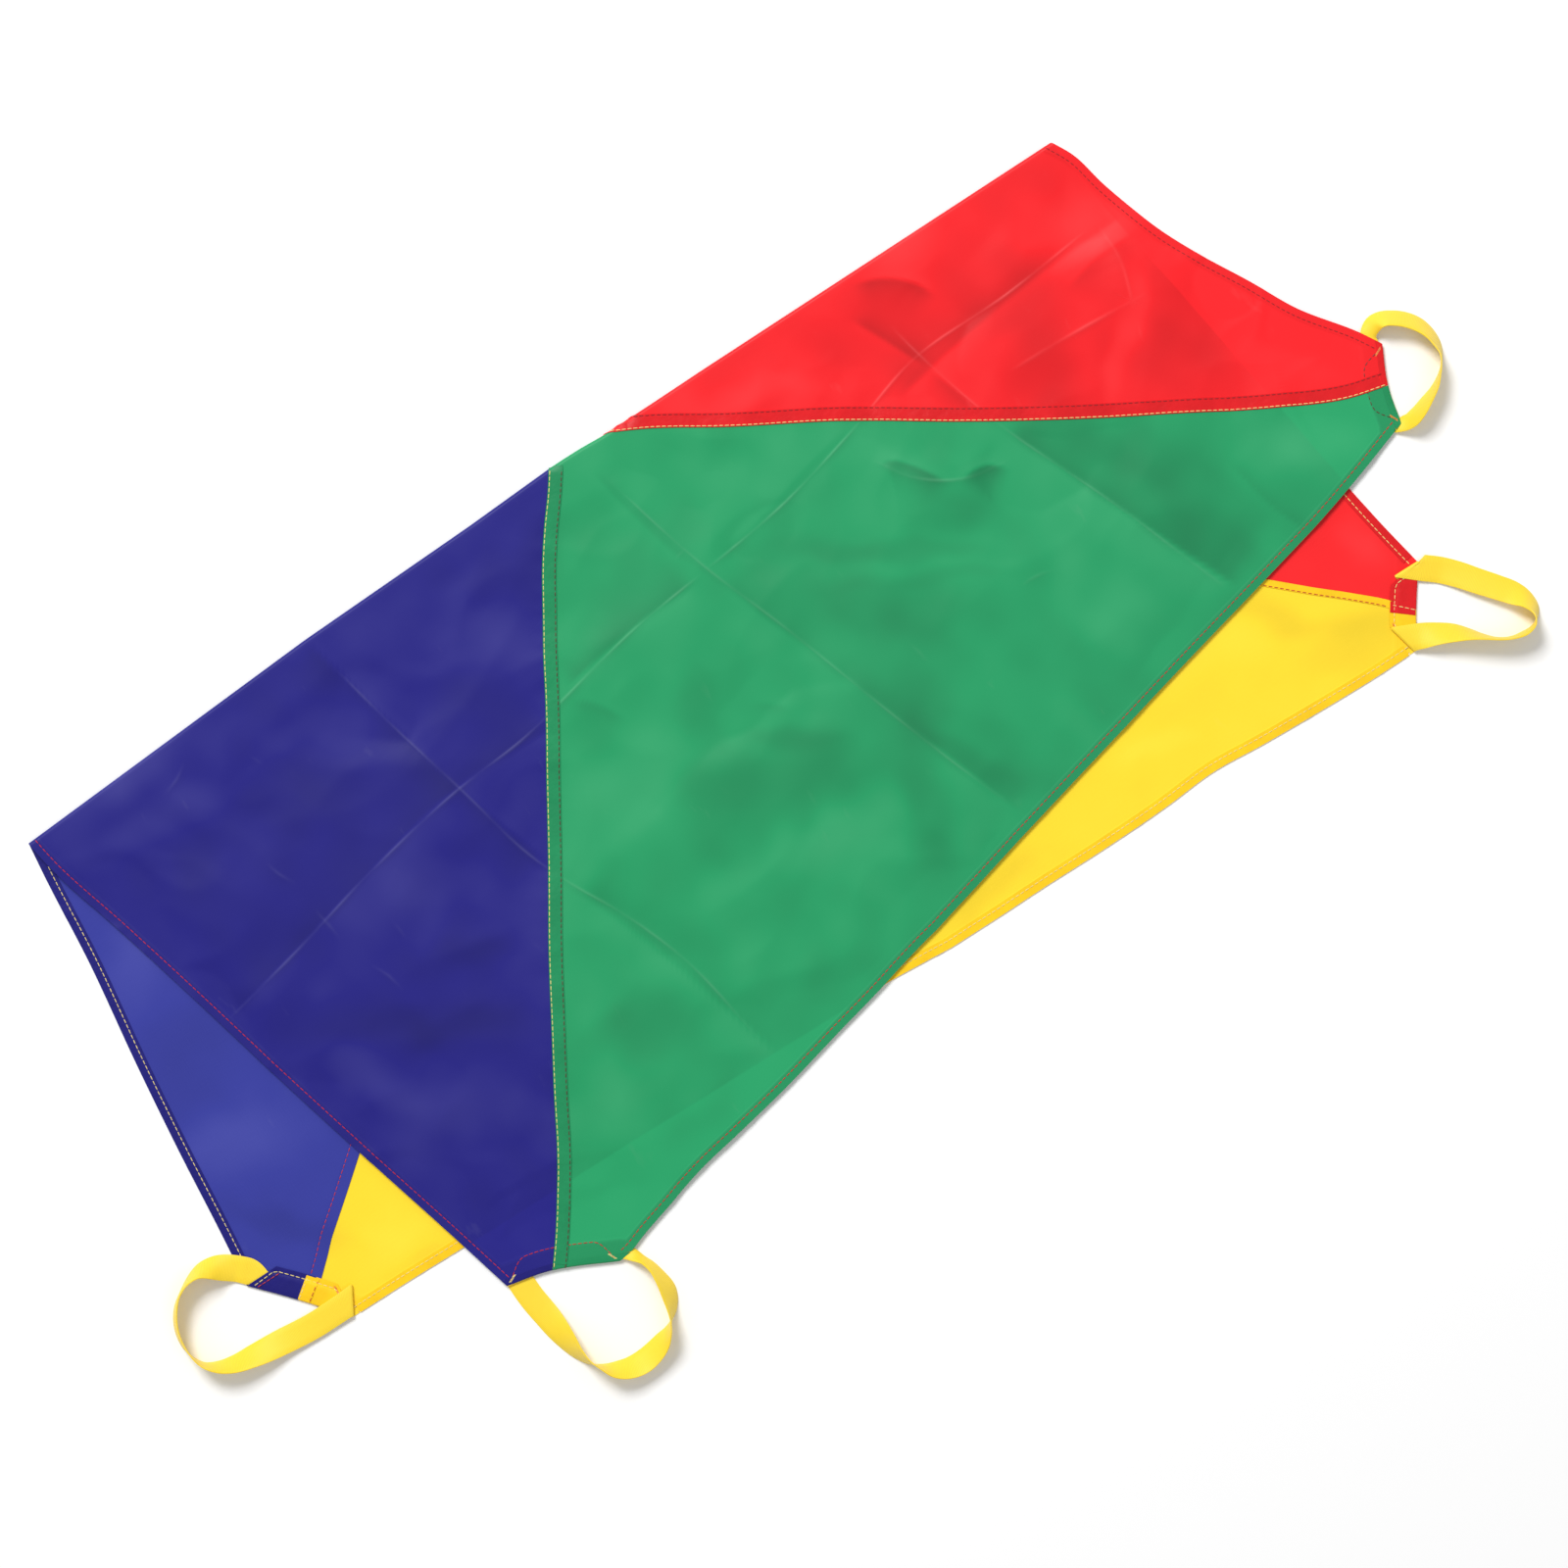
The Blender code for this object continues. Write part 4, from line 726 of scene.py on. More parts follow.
class Corner:
    """A cut corner: its mouths, where the seam meets it, and its own directions on the flat cloth."""

    def __init__(self, half, first, border, second, inside):
        self.half = half
        self.first, self.border, self.second = (np.array(p, float) for p in (first, border, second))
        span = self.second - self.first
        self.reach = np.hypot(*span) / 2
        self.middle = (self.first + self.second) / 2
        self.along = span / np.hypot(*span)
        self.inward = np.array([-self.along[1], self.along[0]])
        if (np.array(inside) - self.middle) @ self.inward < 0:
            self.inward = -self.inward
        self.side = -1 if half == "upper" else 1
        self.level = UPPER if half == "upper" else LOWER

    def depth(self, place):
        """How far inside the line between the mouths a place is."""
        return (np.asarray(place) - self.middle) @ self.inward

    def place_along(self, place):
        """How far along the line between the mouths a place is, from its middle."""
        return (np.asarray(place) - self.middle) @ self.along

    def cut(self, along):
        """How far the cut lies inside the straight line between the mouths."""
        at = self.place_along(self.border)
        first, second = (along + self.reach) / (at + self.reach), (self.reach - along) / (self.reach - at)
        share = np.clip(np.where(along < at, first, second), 0, 1)
        return self.depth(self.border) * np.sin(share * pi / 2) ** CUT_CURVE

    def spot(self, along, inward):
        """A place on the flat cloth."""
        return self.middle + np.asarray(along)[..., None] * self.along + np.asarray(inward)[..., None] * self.inward

    def at(self, along, inward, height):
        """A place in millimetres above the floor."""
        x, back = np.moveaxis(self.spot(along, inward), -1, 0)
        y = ridge(x) - ROLL - (np.abs(back) - ARC)
        return np.stack([x, y, np.broadcast_to(height, y.shape)], -1)

    def ended(self, line, depth):
        """The line stopped at a depth inside the mouths."""
        deep = self.depth(line) - depth
        keep = int(np.argmax(deep < 0)) if (deep < 0).any() else len(line) - 1
        a, b = line[keep - 1], line[keep]
        da, db = deep[keep - 1], deep[keep]
        return np.vstack([line[:keep], a + (b - a) * da / (da - db)])

    def stopped(self, line, depth):
        """The line stopped at a depth inside the cut."""
        return self.ended(line, depth + self.cut(self.place_along(line[-1])))

    def cut_line(self):
        """The cut on the flat cloth."""
        along = np.linspace(-self.reach, self.reach, 24)
        return self.spot(along, self.cut(along))

    def flap(self, places):
        """Places on top of the turned cloth, and their directions away from it."""
        along, inward = np.asarray(places, float).T
        rows = casing_profile()[TURN_SECTIONS + 1:]
        height = np.interp(inward - self.cut(along), rows[:, 0], rows[:, 1])
        points = self.at(along, inward, self.level + self.side * height)
        return points, np.broadcast_to([0, 0, float(self.side)], points.shape)


OUTLINES = {
    name: smooth(flat(points, half))
    for name, points, half in (
        ("upper_blue", UPPER_BLUE_EDGE, "upper"), ("green", GREEN_EDGE, "upper"),
        ("upper_red", UPPER_RED_EDGE, "upper"), ("lower_blue", LOWER_BLUE_EDGE, "lower"),
        ("yellow", YELLOW_EDGE, "lower"), ("lower_red", LOWER_RED_EDGE, "lower"),
        ("blue_green", BLUE_GREEN_SEAM, "upper"), ("red_green", RED_GREEN_SEAM, "upper"),
        ("blue_yellow", MIDDLE[:1] + BLUE_YELLOW_SEAM, "lower"), ("red_yellow", MIDDLE[1:] + RED_YELLOW_SEAM, "lower"),
    )
}
CORNERS = {
    f"{tone}_{other}": Corner(
        half, OUTLINES[f"{half}_{tone}"][-1], OUTLINES[f"{tone}_{other}"][-1], OUTLINES[other][place], inside
    )
    for tone, other, half, place, inside in (
        ("blue", "green", "upper", 0, (400, 200)), ("red", "green", "upper", -1, (700, 150)),
        ("blue", "yellow", "lower", 0, (400, -200)), ("red", "yellow", "lower", -1, (600, -200)),
    )
}


def edge_between(tone, depth):
    """The green or the yellow edge, stopped at a depth inside both its corners."""
    blue, red = CORNERS["blue_" + tone], CORNERS["red_" + tone]
    return red.ended(blue.ended(OUTLINES[tone][::-1], depth)[::-1], depth)


def seam_inside(key, depth):
    """A lower seam's line to a depth inside its corner; the blue and yellow one runs straight on under the flap."""
    line = OUTLINES[key]
    if key == "blue_yellow":
        line = line[line[:, 0] > 6]
        line = np.vstack([line, line[-1] + (line[-1] - line[-2]) * 9])
    return CORNERS[key].stopped(line, depth)


def above(line):
    """A line on the cloth as it is seen from above."""
    return np.stack([line[:, 0], plan(line[:, 0], line[:, 1])[0]], -1)


# Distances from a border at which a net has fine steps, and those at a far edge
FINE_STEPS = np.array([0, 0.8, 3, 5.6, 8, 9.2, 12])
FINE_END = np.array([9.2, 8, 5.6, 0.8, 0])
# Below this width the fine steps shrink
FULL_WIDTH = 60


def graded(count, lengths):
    """Shares along lines of given lengths, with fine steps at both ends."""
    total = lengths[:, None]
    start = FINE_STEPS * np.minimum(1, total / FULL_WIDTH) / total
    end = 1 - start[:, ::-1]
    share = np.linspace(0, 1, count)[None, 1:-1]
    return np.hstack([start, start[:, -1:] + (end[:, :1] - start[:, -1:]) * share, end])


def block(left, right, rows, columns, edge=None):
    """A net between two lines, fine near them; it ends straight, or at an edge line with fine rows before it."""
    v = np.linspace(0, 1, rows)
    if edge is not None:
        total = steps_of(left)[-1]
        v = np.r_[np.linspace(0, 1 - FINE_STEPS[-1] / total, rows - len(FINE_END)), 1 - FINE_END / total]
    widths = np.linalg.norm(on_line(right, v) - on_line(left, v), axis=1)
    u = graded(columns, np.maximum(widths, 0.5))
    bottom = np.vstack([left[-1:], right[-1:]] if edge is None else [left[-1:], edge, right[-1:]])
    return patch(np.vstack([left[0], right[0]]), bottom, left, right, u, np.broadcast_to(v[:, None], u.shape))


TURN_BACK = [ROLL * np.arcsin((height - ROLL_MIDDLE) / ROLL) for height in TURN]
# Rows of the cloth round the fold, as distances from the ridge: close together between the heights where the real
# cloth turns with the hinge
ROLL_ROWS = np.r_[
    np.linspace(FLAT_FROM, ARC, 6)[:-1], np.linspace(ARC, TURN_BACK[1] + 0.1, 11),
    np.linspace(TURN_BACK[1], TURN_BACK[0], 11), np.linspace(TURN_BACK[0] - 0.1, -ARC, 7), -7, -9.5, -12, -14.4,
]


def roll_net(backs, x_left, x_right, columns):
    """Rows of places round the fold between two sides."""
    x = x_left[:, None] + (x_right - x_left)[:, None] * graded(columns, x_right - x_left)
    return np.stack([x, np.broadcast_to(backs[:, None], x.shape)], -1)


def full_panel(upper, lower, rows_up, rows_low, columns):
    """The net of a panel from the upper half over the fold to the lower, between left and right sides in each."""
    sides = [np.vstack([low[int(np.allclose(up[0], low[0])):][::-1], up]) for up, low in zip(upper, lower)]
    up = block(*(portion(side, FLAT_FROM, side[-1, 1]) for side in sides), rows_up, columns)[::-1]
    low = block(*(portion(side, side[0, 1], -LOW_FROM)[::-1] for side in sides), rows_low, columns)
    backs = ROLL_ROWS[1:]
    roll = roll_net(backs, *(np.interp(backs, side[:, 1], side[:, 0]) for side in sides), columns)
    return np.concatenate([up, roll, low])


class Wire:
    """A value or colour in a material, which can be added, multiplied and raised to a power."""

    def __init__(self, finish, socket):
        self.finish = finish
        self.socket = socket

    def _math(self, operation, first, second):
        return self.finish.add("ShaderNodeMath", {"operation": operation}, {0: first, 1: second})

    def __add__(self, other):
        return self._math("ADD", self, other)

    def __mul__(self, other):
        return self._math("MULTIPLY", self, other)

    def __sub__(self, other):
        return self._math("SUBTRACT", self, other)

    def __rsub__(self, other):
        return self._math("SUBTRACT", other, self)

    def __pow__(self, other):
        return self._math("POWER", self, other)

    def __rpow__(self, other):
        return self._math("POWER", other, self)

    __radd__ = __add__
    __rmul__ = __mul__


class Finish:
    """A material under construction."""

    def __init__(self, name):
        self.material = bpy.data.materials.new(name)
        self.material.use_nodes = True
        self.tree = self.material.node_tree
        self.shader = self.tree.nodes["Principled BSDF"]

    def set_input(self, socket, value):
        """Links a socket or gives it a value."""
        if isinstance(value, Wire):
            self.tree.links.new(value.socket, socket)
        elif hasattr(value, "__len__") and len(value) == 3 and len(socket.default_value) == 4:
            socket.default_value = (*value, 1)
        else:
            socket.default_value = value

    def add(self, kind, settings, inputs, output=0):
        """A node of a kind, with its settings and the values or links of its sockets."""
        node = self.tree.nodes.new(kind)
        for key, value in settings.items():
            setattr(node, key, value)
        for key, value in inputs.items():
            self.set_input(node.inputs[key], value)
        return Wire(self, node.outputs[output])

    def place(self, scale=(1, 1, 1), turn=0):
        """Object coordinates, stretched and turned about the vertical."""
        where = self.add("ShaderNodeTexCoord", {}, {}, "Object")
        return self.add("ShaderNodeMapping", {}, {"Vector": where, "Scale": scale, "Rotation": (0, 0, radians(turn))})

    def noise(self, size, detail=2, stretch=(1, 1, 1), turn=0):
        """Smooth chance values of a size in metres."""
        where = self.place(stretch, turn)
        return self.add("ShaderNodeTexNoise", {}, {"Vector": where, "Scale": 1 / size, "Detail": detail})

    def field(self, name):
        """One of the cloth's own values, in millimetres."""
        return self.add("ShaderNodeAttribute", {"attribute_name": name}, {}, "Fac")

    def ramp(self, value, low, high):
        """The value's share of the way from low to high."""
        return self.add("ShaderNodeMapRange", {"clamp": True}, {"Value": value, "From Min": low, "From Max": high})

    def mix(self, share, first, second):
        """A colour between two."""
        return self.add("ShaderNodeMix", {"data_type": "RGBA"}, {0: share, 6: first, 7: second}, 2)

    def bump(self, height, distance, strength=1.0, under=None):
        """The light of small heights, over that of others."""
        inputs = {"Height": height, "Distance": distance, "Strength": strength}
        if under:
            inputs["Normal"] = under
        return self.add("ShaderNodeBump", {}, inputs)

    def surface(self, **inputs):
        """Gives the shader its inputs and ends the material."""
        for key, value in inputs.items():
            self.set_input(self.shader.inputs[key.replace("_", " ")], value)
        return self.material


def shade(tone, factor):
    """A lighter or darker tone."""
    return tuple(min(1, part * factor) for part in tone)


def layered(tone):
    """The tone of cloth that lies in several layers: bright tones grow warmer, dark ones deeper."""
    return (tone[0] * 0.98, tone[1] * 0.90, tone[2] * 0.8) if tone[1] > 0.5 else shade(tone, 0.80)


def bell(value):
    """1 where a value is 0, falling off on both sides."""
    return 2.718 ** (0 - value**2)


# Size of the weave in metres, how its threads run, and how patterns that lie in the cloth are stretched
WEAVE = 0.0009
WARP, WEFT = (1, 0.12, 1), (0.12, 1, 1)
LYING = (1, 1, 0.2)
PATCHY = (0.35, 0.68)
# Sharpness of the marks of each kind of crease, a pale line that is partly wear and partly painted highlight, and the
# painted shade line beside them
MARK_SHARPNESS = {"long": 1.1, "cross": 1.1, "small": 1.3}
BESIDE_AWAY, BESIDE_SHARPNESS = 2.6, 0.45
# How much darker a hem looks, on cloth that lets much light through and on the rest
HEM_SHADE, DENSE_HEM_SHADE = 0.75, 0.35


def taffeta(name, tone):
    """Thin coated cloth: soft sheen, fine weave, faint unevenness, painted veils of light and shade, a painted lighter
    tone where no cloth lies beneath, thin creases with pale lines and painted shade, and darker hems.
    """
    inner = name.endswith("_inner")
    f = Finish(name)
    patchy = f.ramp(f.noise(0.09, 3, LYING), *PATCHY)
    cloud = f.noise(0.045, 2, LYING)
    # Painted light and shade: the tone map, over its faint chance unevenness, darkens the cloth towards a painted
    # shade and lightens it towards a painted pale sheen
    painted_veil = f.field("tone") + (patchy - 0.5) * 0.03
    base = f.mix(f.ramp(painted_veil, 0.0, -0.2), tone, shade(tone, 0.64))
    base = f.mix(f.ramp(painted_veil, 0.0, 0.2), base, tuple(part * 1.16 + 0.034 for part in tone))
    # Painted light: the cloth is painted lighter where no cloth lies beneath it, standing in for light from the floor
    # coming through it
    base = f.mix(f.ramp(f.field("beneath"), 0.8, -0.8) * 0.5, base, shade(tone, 1.22))
    see_through = name.startswith(("green", "yellow"))
    hem = f.ramp(f.field("edge"), 8.8, 7.8) * (HEM_SHADE if see_through else DENSE_HEM_SHADE)
    base = f.mix(hem, base, layered(tone))
    pale, deep = tuple(part + (1 - part) * 0.10 for part in tone), shade(tone, 0.7)
    height = f.ramp(f.field("edge"), 9.2, 7.4) * 0.25
    # Creases: a pale line along each, partly wear and partly painted highlight, and a painted shade line beside it
    for kind, sharp in MARK_SHARPNESS.items():
        away, strength = f.field("crease_" + kind), f.field("strength_" + kind)
        line = bell(away * (1 / sharp)) * strength
        beside = bell((away - BESIDE_AWAY) * BESIDE_SHARPNESS) * strength
        base = f.mix(line * 0.26, f.mix(beside * 0.20, base, deep), pale)
        height = height + line * 0.30
    scuffs = f.ramp(f.noise(0.012, 5, (1, 0.35, 1), 20), 0.66, 0.74) * f.ramp(f.noise(0.06, 2), 0.5, 0.62)
    base = f.mix(scuffs * 0.10, base, pale)
    weave = f.noise(WEAVE, 1, WARP, PHOTO_TURN) + f.noise(WEAVE, 1, WEFT, PHOTO_TURN)
    fine = f.bump(weave, 0.0001 if inner else 0.00005, 0.6)
    creased = f.bump(height, 0.001, 1.0, fine)
    return f.surface(
        Base_Color=base, Roughness=(0.50 if inner else 0.46) + 0.07 * patchy,
        Normal=f.bump(cloud, 0.0007, 0.5, creased), Sheen_Weight=0.03, Specular_IOR_Level=0.15 if inner else 0.22,
    )


def turned_taffeta(name, tone):
    """The same cloth where it lies in several layers, so that less light comes through."""
    f = Finish(name)
    patchy = f.ramp(f.noise(0.02, 3), *PATCHY)
    base = f.mix(patchy, shade(layered(tone), 0.95), shade(layered(tone), 1.07))
    fine = f.bump(f.noise(WEAVE, 1, WARP, PHOTO_TURN), 0.0001, 0.6)
    pucker = f.bump(f.noise(0.005, 2), 0.0006, 0.6, fine)
    return f.surface(Base_Color=base, Roughness=0.45, Normal=pucker, Sheen_Weight=0.03, Specular_IOR_Level=0.2)


# Ribs of the webbing to a metre, and the wave texture's scale for one band to a metre
RIBS = 900
BAND_SCALE = 0.314


def webbing_finish(name, tone):
    """Woven tape with fine ribs across it."""
    f = Finish(name)
    where = f.add("ShaderNodeUVMap", {"uv_map": "tape"}, {})
    ribs = f.add(
        "ShaderNodeTexWave", {"bands_direction": "X", "wave_profile": "SIN"},
        {"Vector": where, "Scale": BAND_SCALE * RIBS, "Distortion": 0.3, "Detail": 1.0},
    )
    grain = f.noise(0.0011, 2)
    base = f.mix(f.ramp(ribs * 0.6 + grain * 0.4, 0.25, 0.75), shade(tone, 0.90), shade(tone, 1.03))
    woven = f.bump(ribs + grain * 0.4, 0.00012, 0.6)
    return f.surface(Base_Color=base, Roughness=0.55, Normal=woven, Sheen_Weight=0.1)


def thread_finish(name, tone):
    """Twisted sewing thread."""
    f = Finish(name)
    twist = f.ramp(f.noise(0.0008, 1), 0.3, 0.7)
    return f.surface(Base_Color=f.mix(twist, shade(tone, 0.75), shade(tone, 1.1)), Roughness=0.55)


FINISHES = {}


def finish(name):
    """A finish of this parachute, made on first use."""
    if name not in FINISHES:
        kinds = {"turned": turned_taffeta, "thread": thread_finish, "webbing": webbing_finish}
        make = kinds.get(name.split("_")[-1], taffeta)
        tone = tuple(getattr(bpy.context.scene.parachute_colours, name.removesuffix("_turned")))
        FINISHES[name] = make(name, tone)
    return FINISHES[name]


LAYER_GAP = 0.06


def cloth_layer(name, net, colour_name, side=0):
    """One cloth layer, or the two turned layers of a hem or seam on one side of it."""
    thin, turned = mm(sizes().cloth), mm(sizes().turned)
    if side == 0:
        return layer(name, net, -thin / 2, thin / 2, finish(colour_name), finish(colour_name + "_inner"))
    near = side * (thin / 2 + LAYER_GAP)
    kind = colour_name if colour_name.endswith("_inner") else colour_name + "_turned"
    return layer(name, net, near, near + side * turned, finish(kind))


def net_area(net):
    """Area of a net of flat places, in square metres."""
    a, b, c, d = net[:-1, :-1], net[:-1, 1:], net[1:, 1:], net[1:, :-1]
    p, q = c - a, d - b
    return abs((p[..., 0] * q[..., 1] - p[..., 1] * q[..., 0]).sum()) / 2 * MM * MM


# The most lines side by side in a strip, a sheet's least side in metres, and its least share of its rectangle
STRIP_LINES = 4
LEAST_SIDE = 0.0101
LEAST_SHARE = 0.3


def declare(net):
    """Works out the flat size that a piece of cloth was cut to, and keeps nothing of it."""
    area = net_area(net)
    if min(net.shape[:2]) <= STRIP_LINES:
        long = max(steps_of(net[:, 0])[-1], steps_of(net[0])[-1]) * MM
        wide = area / long
    else:
        wide, long = np.ptp(net.reshape(-1, 2), axis=0) * MM
    wide, long = max(float(wide), LEAST_SIDE), max(float(long), LEAST_SIDE)
    size = wide * long
    min(max(area, LEAST_SHARE * size), size)


def settle(piece, net, tone, nodes, rests_on, half=None):
    """Attaches a piece of cloth to the half it rides on, or else bakes its place into its mesh, and hides the parts
    that it stands for; what it rests on is not used.
    """
    if half:
        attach(piece, half + "_half")
    else:
        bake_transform(piece)
    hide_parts(*nodes)
    tone + "_cloth"
    declare(net)


def panel_of(tone):
    """The name of a colour's panel."""
    return tone + ("_panel_cloth" if tone in ("green", "yellow") else "_panel")


def stripe(line, width, panel, side_by_side=3):
    """A narrow net along a line, towards the middle of a panel."""
    return np.stack([into(line, width * k / (side_by_side - 1), panel) for k in range(side_by_side)], 1)


# Roughness of the two halves' relief, and the middle of the canopy along the fold
ROUGH_UPPER, ROUGH_LOWER = 1.0, 0.3
CANOPY_MIDDLE = 494


class ParachutePanels(bpy.types.Operator):
    """Lays the four cloth panels, folded in half"""

    bl_idname = "parachute.panels"
    bl_label = "Panels"

    def execute(self, context):
        lower = [above(OUTLINES[name]) for name in ("lower_blue", "yellow", "lower_red")]
        beneath = np.vstack([lower[0], lower[1], lower[2][::-1], [[FOLD_LENGTH, 12], [0, 12]]])
        upper_relief = (UPPER_CREASES, UPPER_SWELLS, UPPER_PAINTED_VEILS, UPPER_PAINTED_SHADES)
        for half, other, relief, rough, under in (
            ("upper", "green", upper_relief, ROUGH_UPPER, beneath),
            ("lower", "yellow", ((), (), LOWER_PAINTED_VEILS, ()), ROUGH_LOWER, None),
        ):
            seams = ("blue_" + other, "red_" + other)
            near = [above(OUTLINES[name])[::3] for name in (*seams, other, half + "_blue", half + "_red")]
            cuts = [above(CORNERS[key].cut_line()) for key in seams]
            MAPS[half] = relief_map(*relief, near, near[2:], cuts, rough, under)

        def beside(key, tone):
            """A panel's side along a seam."""
            return CORNERS[key].stopped(into(OUTLINES[key], SEAM_GAP, tone), PANEL_END)

        for tone, rows_up, rows_low, columns in (("blue", 170, 120, 120), ("red", 150, 150, 110)):
            sides = []
            for half, other in (("upper", "green"), ("lower", "yellow")):
                key = f"{tone}_{other}"
                pair = CORNERS[key].stopped(OUTLINES[f"{half}_{tone}"], PANEL_END), beside(key, tone)
                sides.append(pair if tone == "blue" else pair[::-1])
            net = full_panel(*sides, rows_up, rows_low, columns)
            piece = cloth_layer(panel_of(tone), net, tone)
            settle(piece, net, tone, (tone + "_panel_upper", tone + "_panel_lower"), ["stage"])

        left, right = beside("blue_green", "green"), beside("red_green", "green")
        up_left, up_right = (portion(side, FLAT_FROM, side[-1, 1]) for side in (left, right))
        up = block(up_left, up_right, 180, 190, edge_between("green", PANEL_END))[::-1]
        backs = np.r_[ROLL_ROWS[1:], -16, -17.7]
        middle_back = -(ARC + ridge(CANOPY_MIDDLE) - ROLL - MIDDLE[0][1])
        x_left, x_right = (
            np.interp(backs, [middle_back, 0, FLAT_FROM], [spot[0], side[0, 0], up_side[0, 0]])
            for spot, side, up_side in zip(MIDDLE, (left, right), (up_left, up_right))
        )
        net = np.concatenate([up, roll_net(backs, x_left, x_right, 190)])
        piece = cloth_layer(panel_of("green"), net, "green")
        beneath = [panel_of(tone) for tone in ("blue", "red", "yellow")]
        settle(piece, net, "green", ("green_panel", "green_panel_tip"), beneath)

        left, right = beside("blue_yellow", "yellow"), beside("red_yellow", "yellow")
        net = block(left, right, 150, 190, edge_between("yellow", PANEL_END))
        settle(cloth_layer(panel_of("yellow"), net, "yellow"), net, "yellow", ("yellow_panel",), ["stage"], "lower")
        return {"FINISHED"}


class ParachuteHems(bpy.types.Operator):
    """Turns the hems on the canopy's inner side"""

    bl_idname = "parachute.hems"
    bl_label = "Hems"

    def execute(self, context):
        hem, step = mm(sizes().hem), 2.5
        for tone in ("blue", "red"):
            up = CORNERS[tone + "_green"].ended(OUTLINES["upper_" + tone], HEM_END)
            low = CORNERS[tone + "_yellow"].ended(OUTLINES["lower_" + tone], HEM_END)
            line = np.vstack([up[::-1], low[1:]])
            fine = spaced(line, step)
            roll = np.stack([np.interp(ROLL_ROWS[::-1], line[::-1, 1], line[::-1, 0])[::-1], ROLL_ROWS], -1)
            fine = np.vstack([fine[fine[:, 1] > FLAT_FROM], roll, fine[fine[:, 1] < -LOW_FROM]])
            across = np.array([1.0 if tone == "blue" else -1.0, 0])
            share = ease((np.abs(fine[:, 1]) - 10) / 30)[:, None]
            inner = fine + across * hem * (1 - share) + (into(fine, hem, tone) - fine) * share
            net = np.stack([fine, (fine + inner) / 2, inner], 1)
            piece = cloth_layer(tone + "_hem_cloth", net, tone, -1)
            settle(piece, net, tone, (tone + "_hem_upper", tone + "_hem_lower"), [panel_of(tone)])
        for tone, half in (("green", "upper"), ("yellow", "lower")):
            net = stripe(spaced(edge_between(tone, HEM_END), step), hem, tone)
            piece = cloth_layer(tone + "_hem_cloth", net, tone, -1)
            settle(piece, net, tone, (tone + "_hem",), [panel_of(tone)], half)
        return {"FINISHED"}


# How far the upper seams run past the ridge
SEAM_PAST = 1.2


class ParachuteSeams(bpy.types.Operator):
    """Lays the flat felled seams over the panels' borders"""

    bl_idname = "parachute.seams"
    bl_label = "Seams"

    def execute(self, context):
        for key, tone, half, side, _ in SEAMS:
            if side > 0:
                line = OUTLINES[key]
                line = CORNERS[key].stopped(np.vstack([[line[0, 0], -SEAM_PAST], line[line[:, 1] > 0.3]]), PANEL_END)
                net = stripe(spaced(line, 2.0), mm(sizes().seam), tone)
                start = net[:, :1]
                drop = np.maximum(start[..., 1:] - net[..., 1:], 1e-6)
                net = start + (net - start) * np.clip((start[..., 1:] + SEAM_PAST) / drop, 0, 1)
            else:
                line = seam_inside(key, FLAP_DEPTH - 3)
                net = stripe(spaced(line, 2.0), mm(getattr(sizes(), "seam_" + tone)), tone)
            piece = cloth_layer(key + "_seam_cloth", net, "blue_inner" if tone == "blue" else tone, side)
            settle(piece, net, tone, (key + "_seam",), [panel_of(tone)], half)
        return {"FINISHED"}


# Seams on the lower flaps: corner, colour, both borders from the cut inwards, and the casing that it lies on
FLAP_SEAMS = (
    ("blue_yellow", "yellow", (-1.7, -0.6), (8.1, 9.7), "yellow_casing_near_blue_cloth"),
    ("red_yellow", "red", (-1.0, -3.5), (6.8, 5.0), "red_casing_lower_cloth"),
)


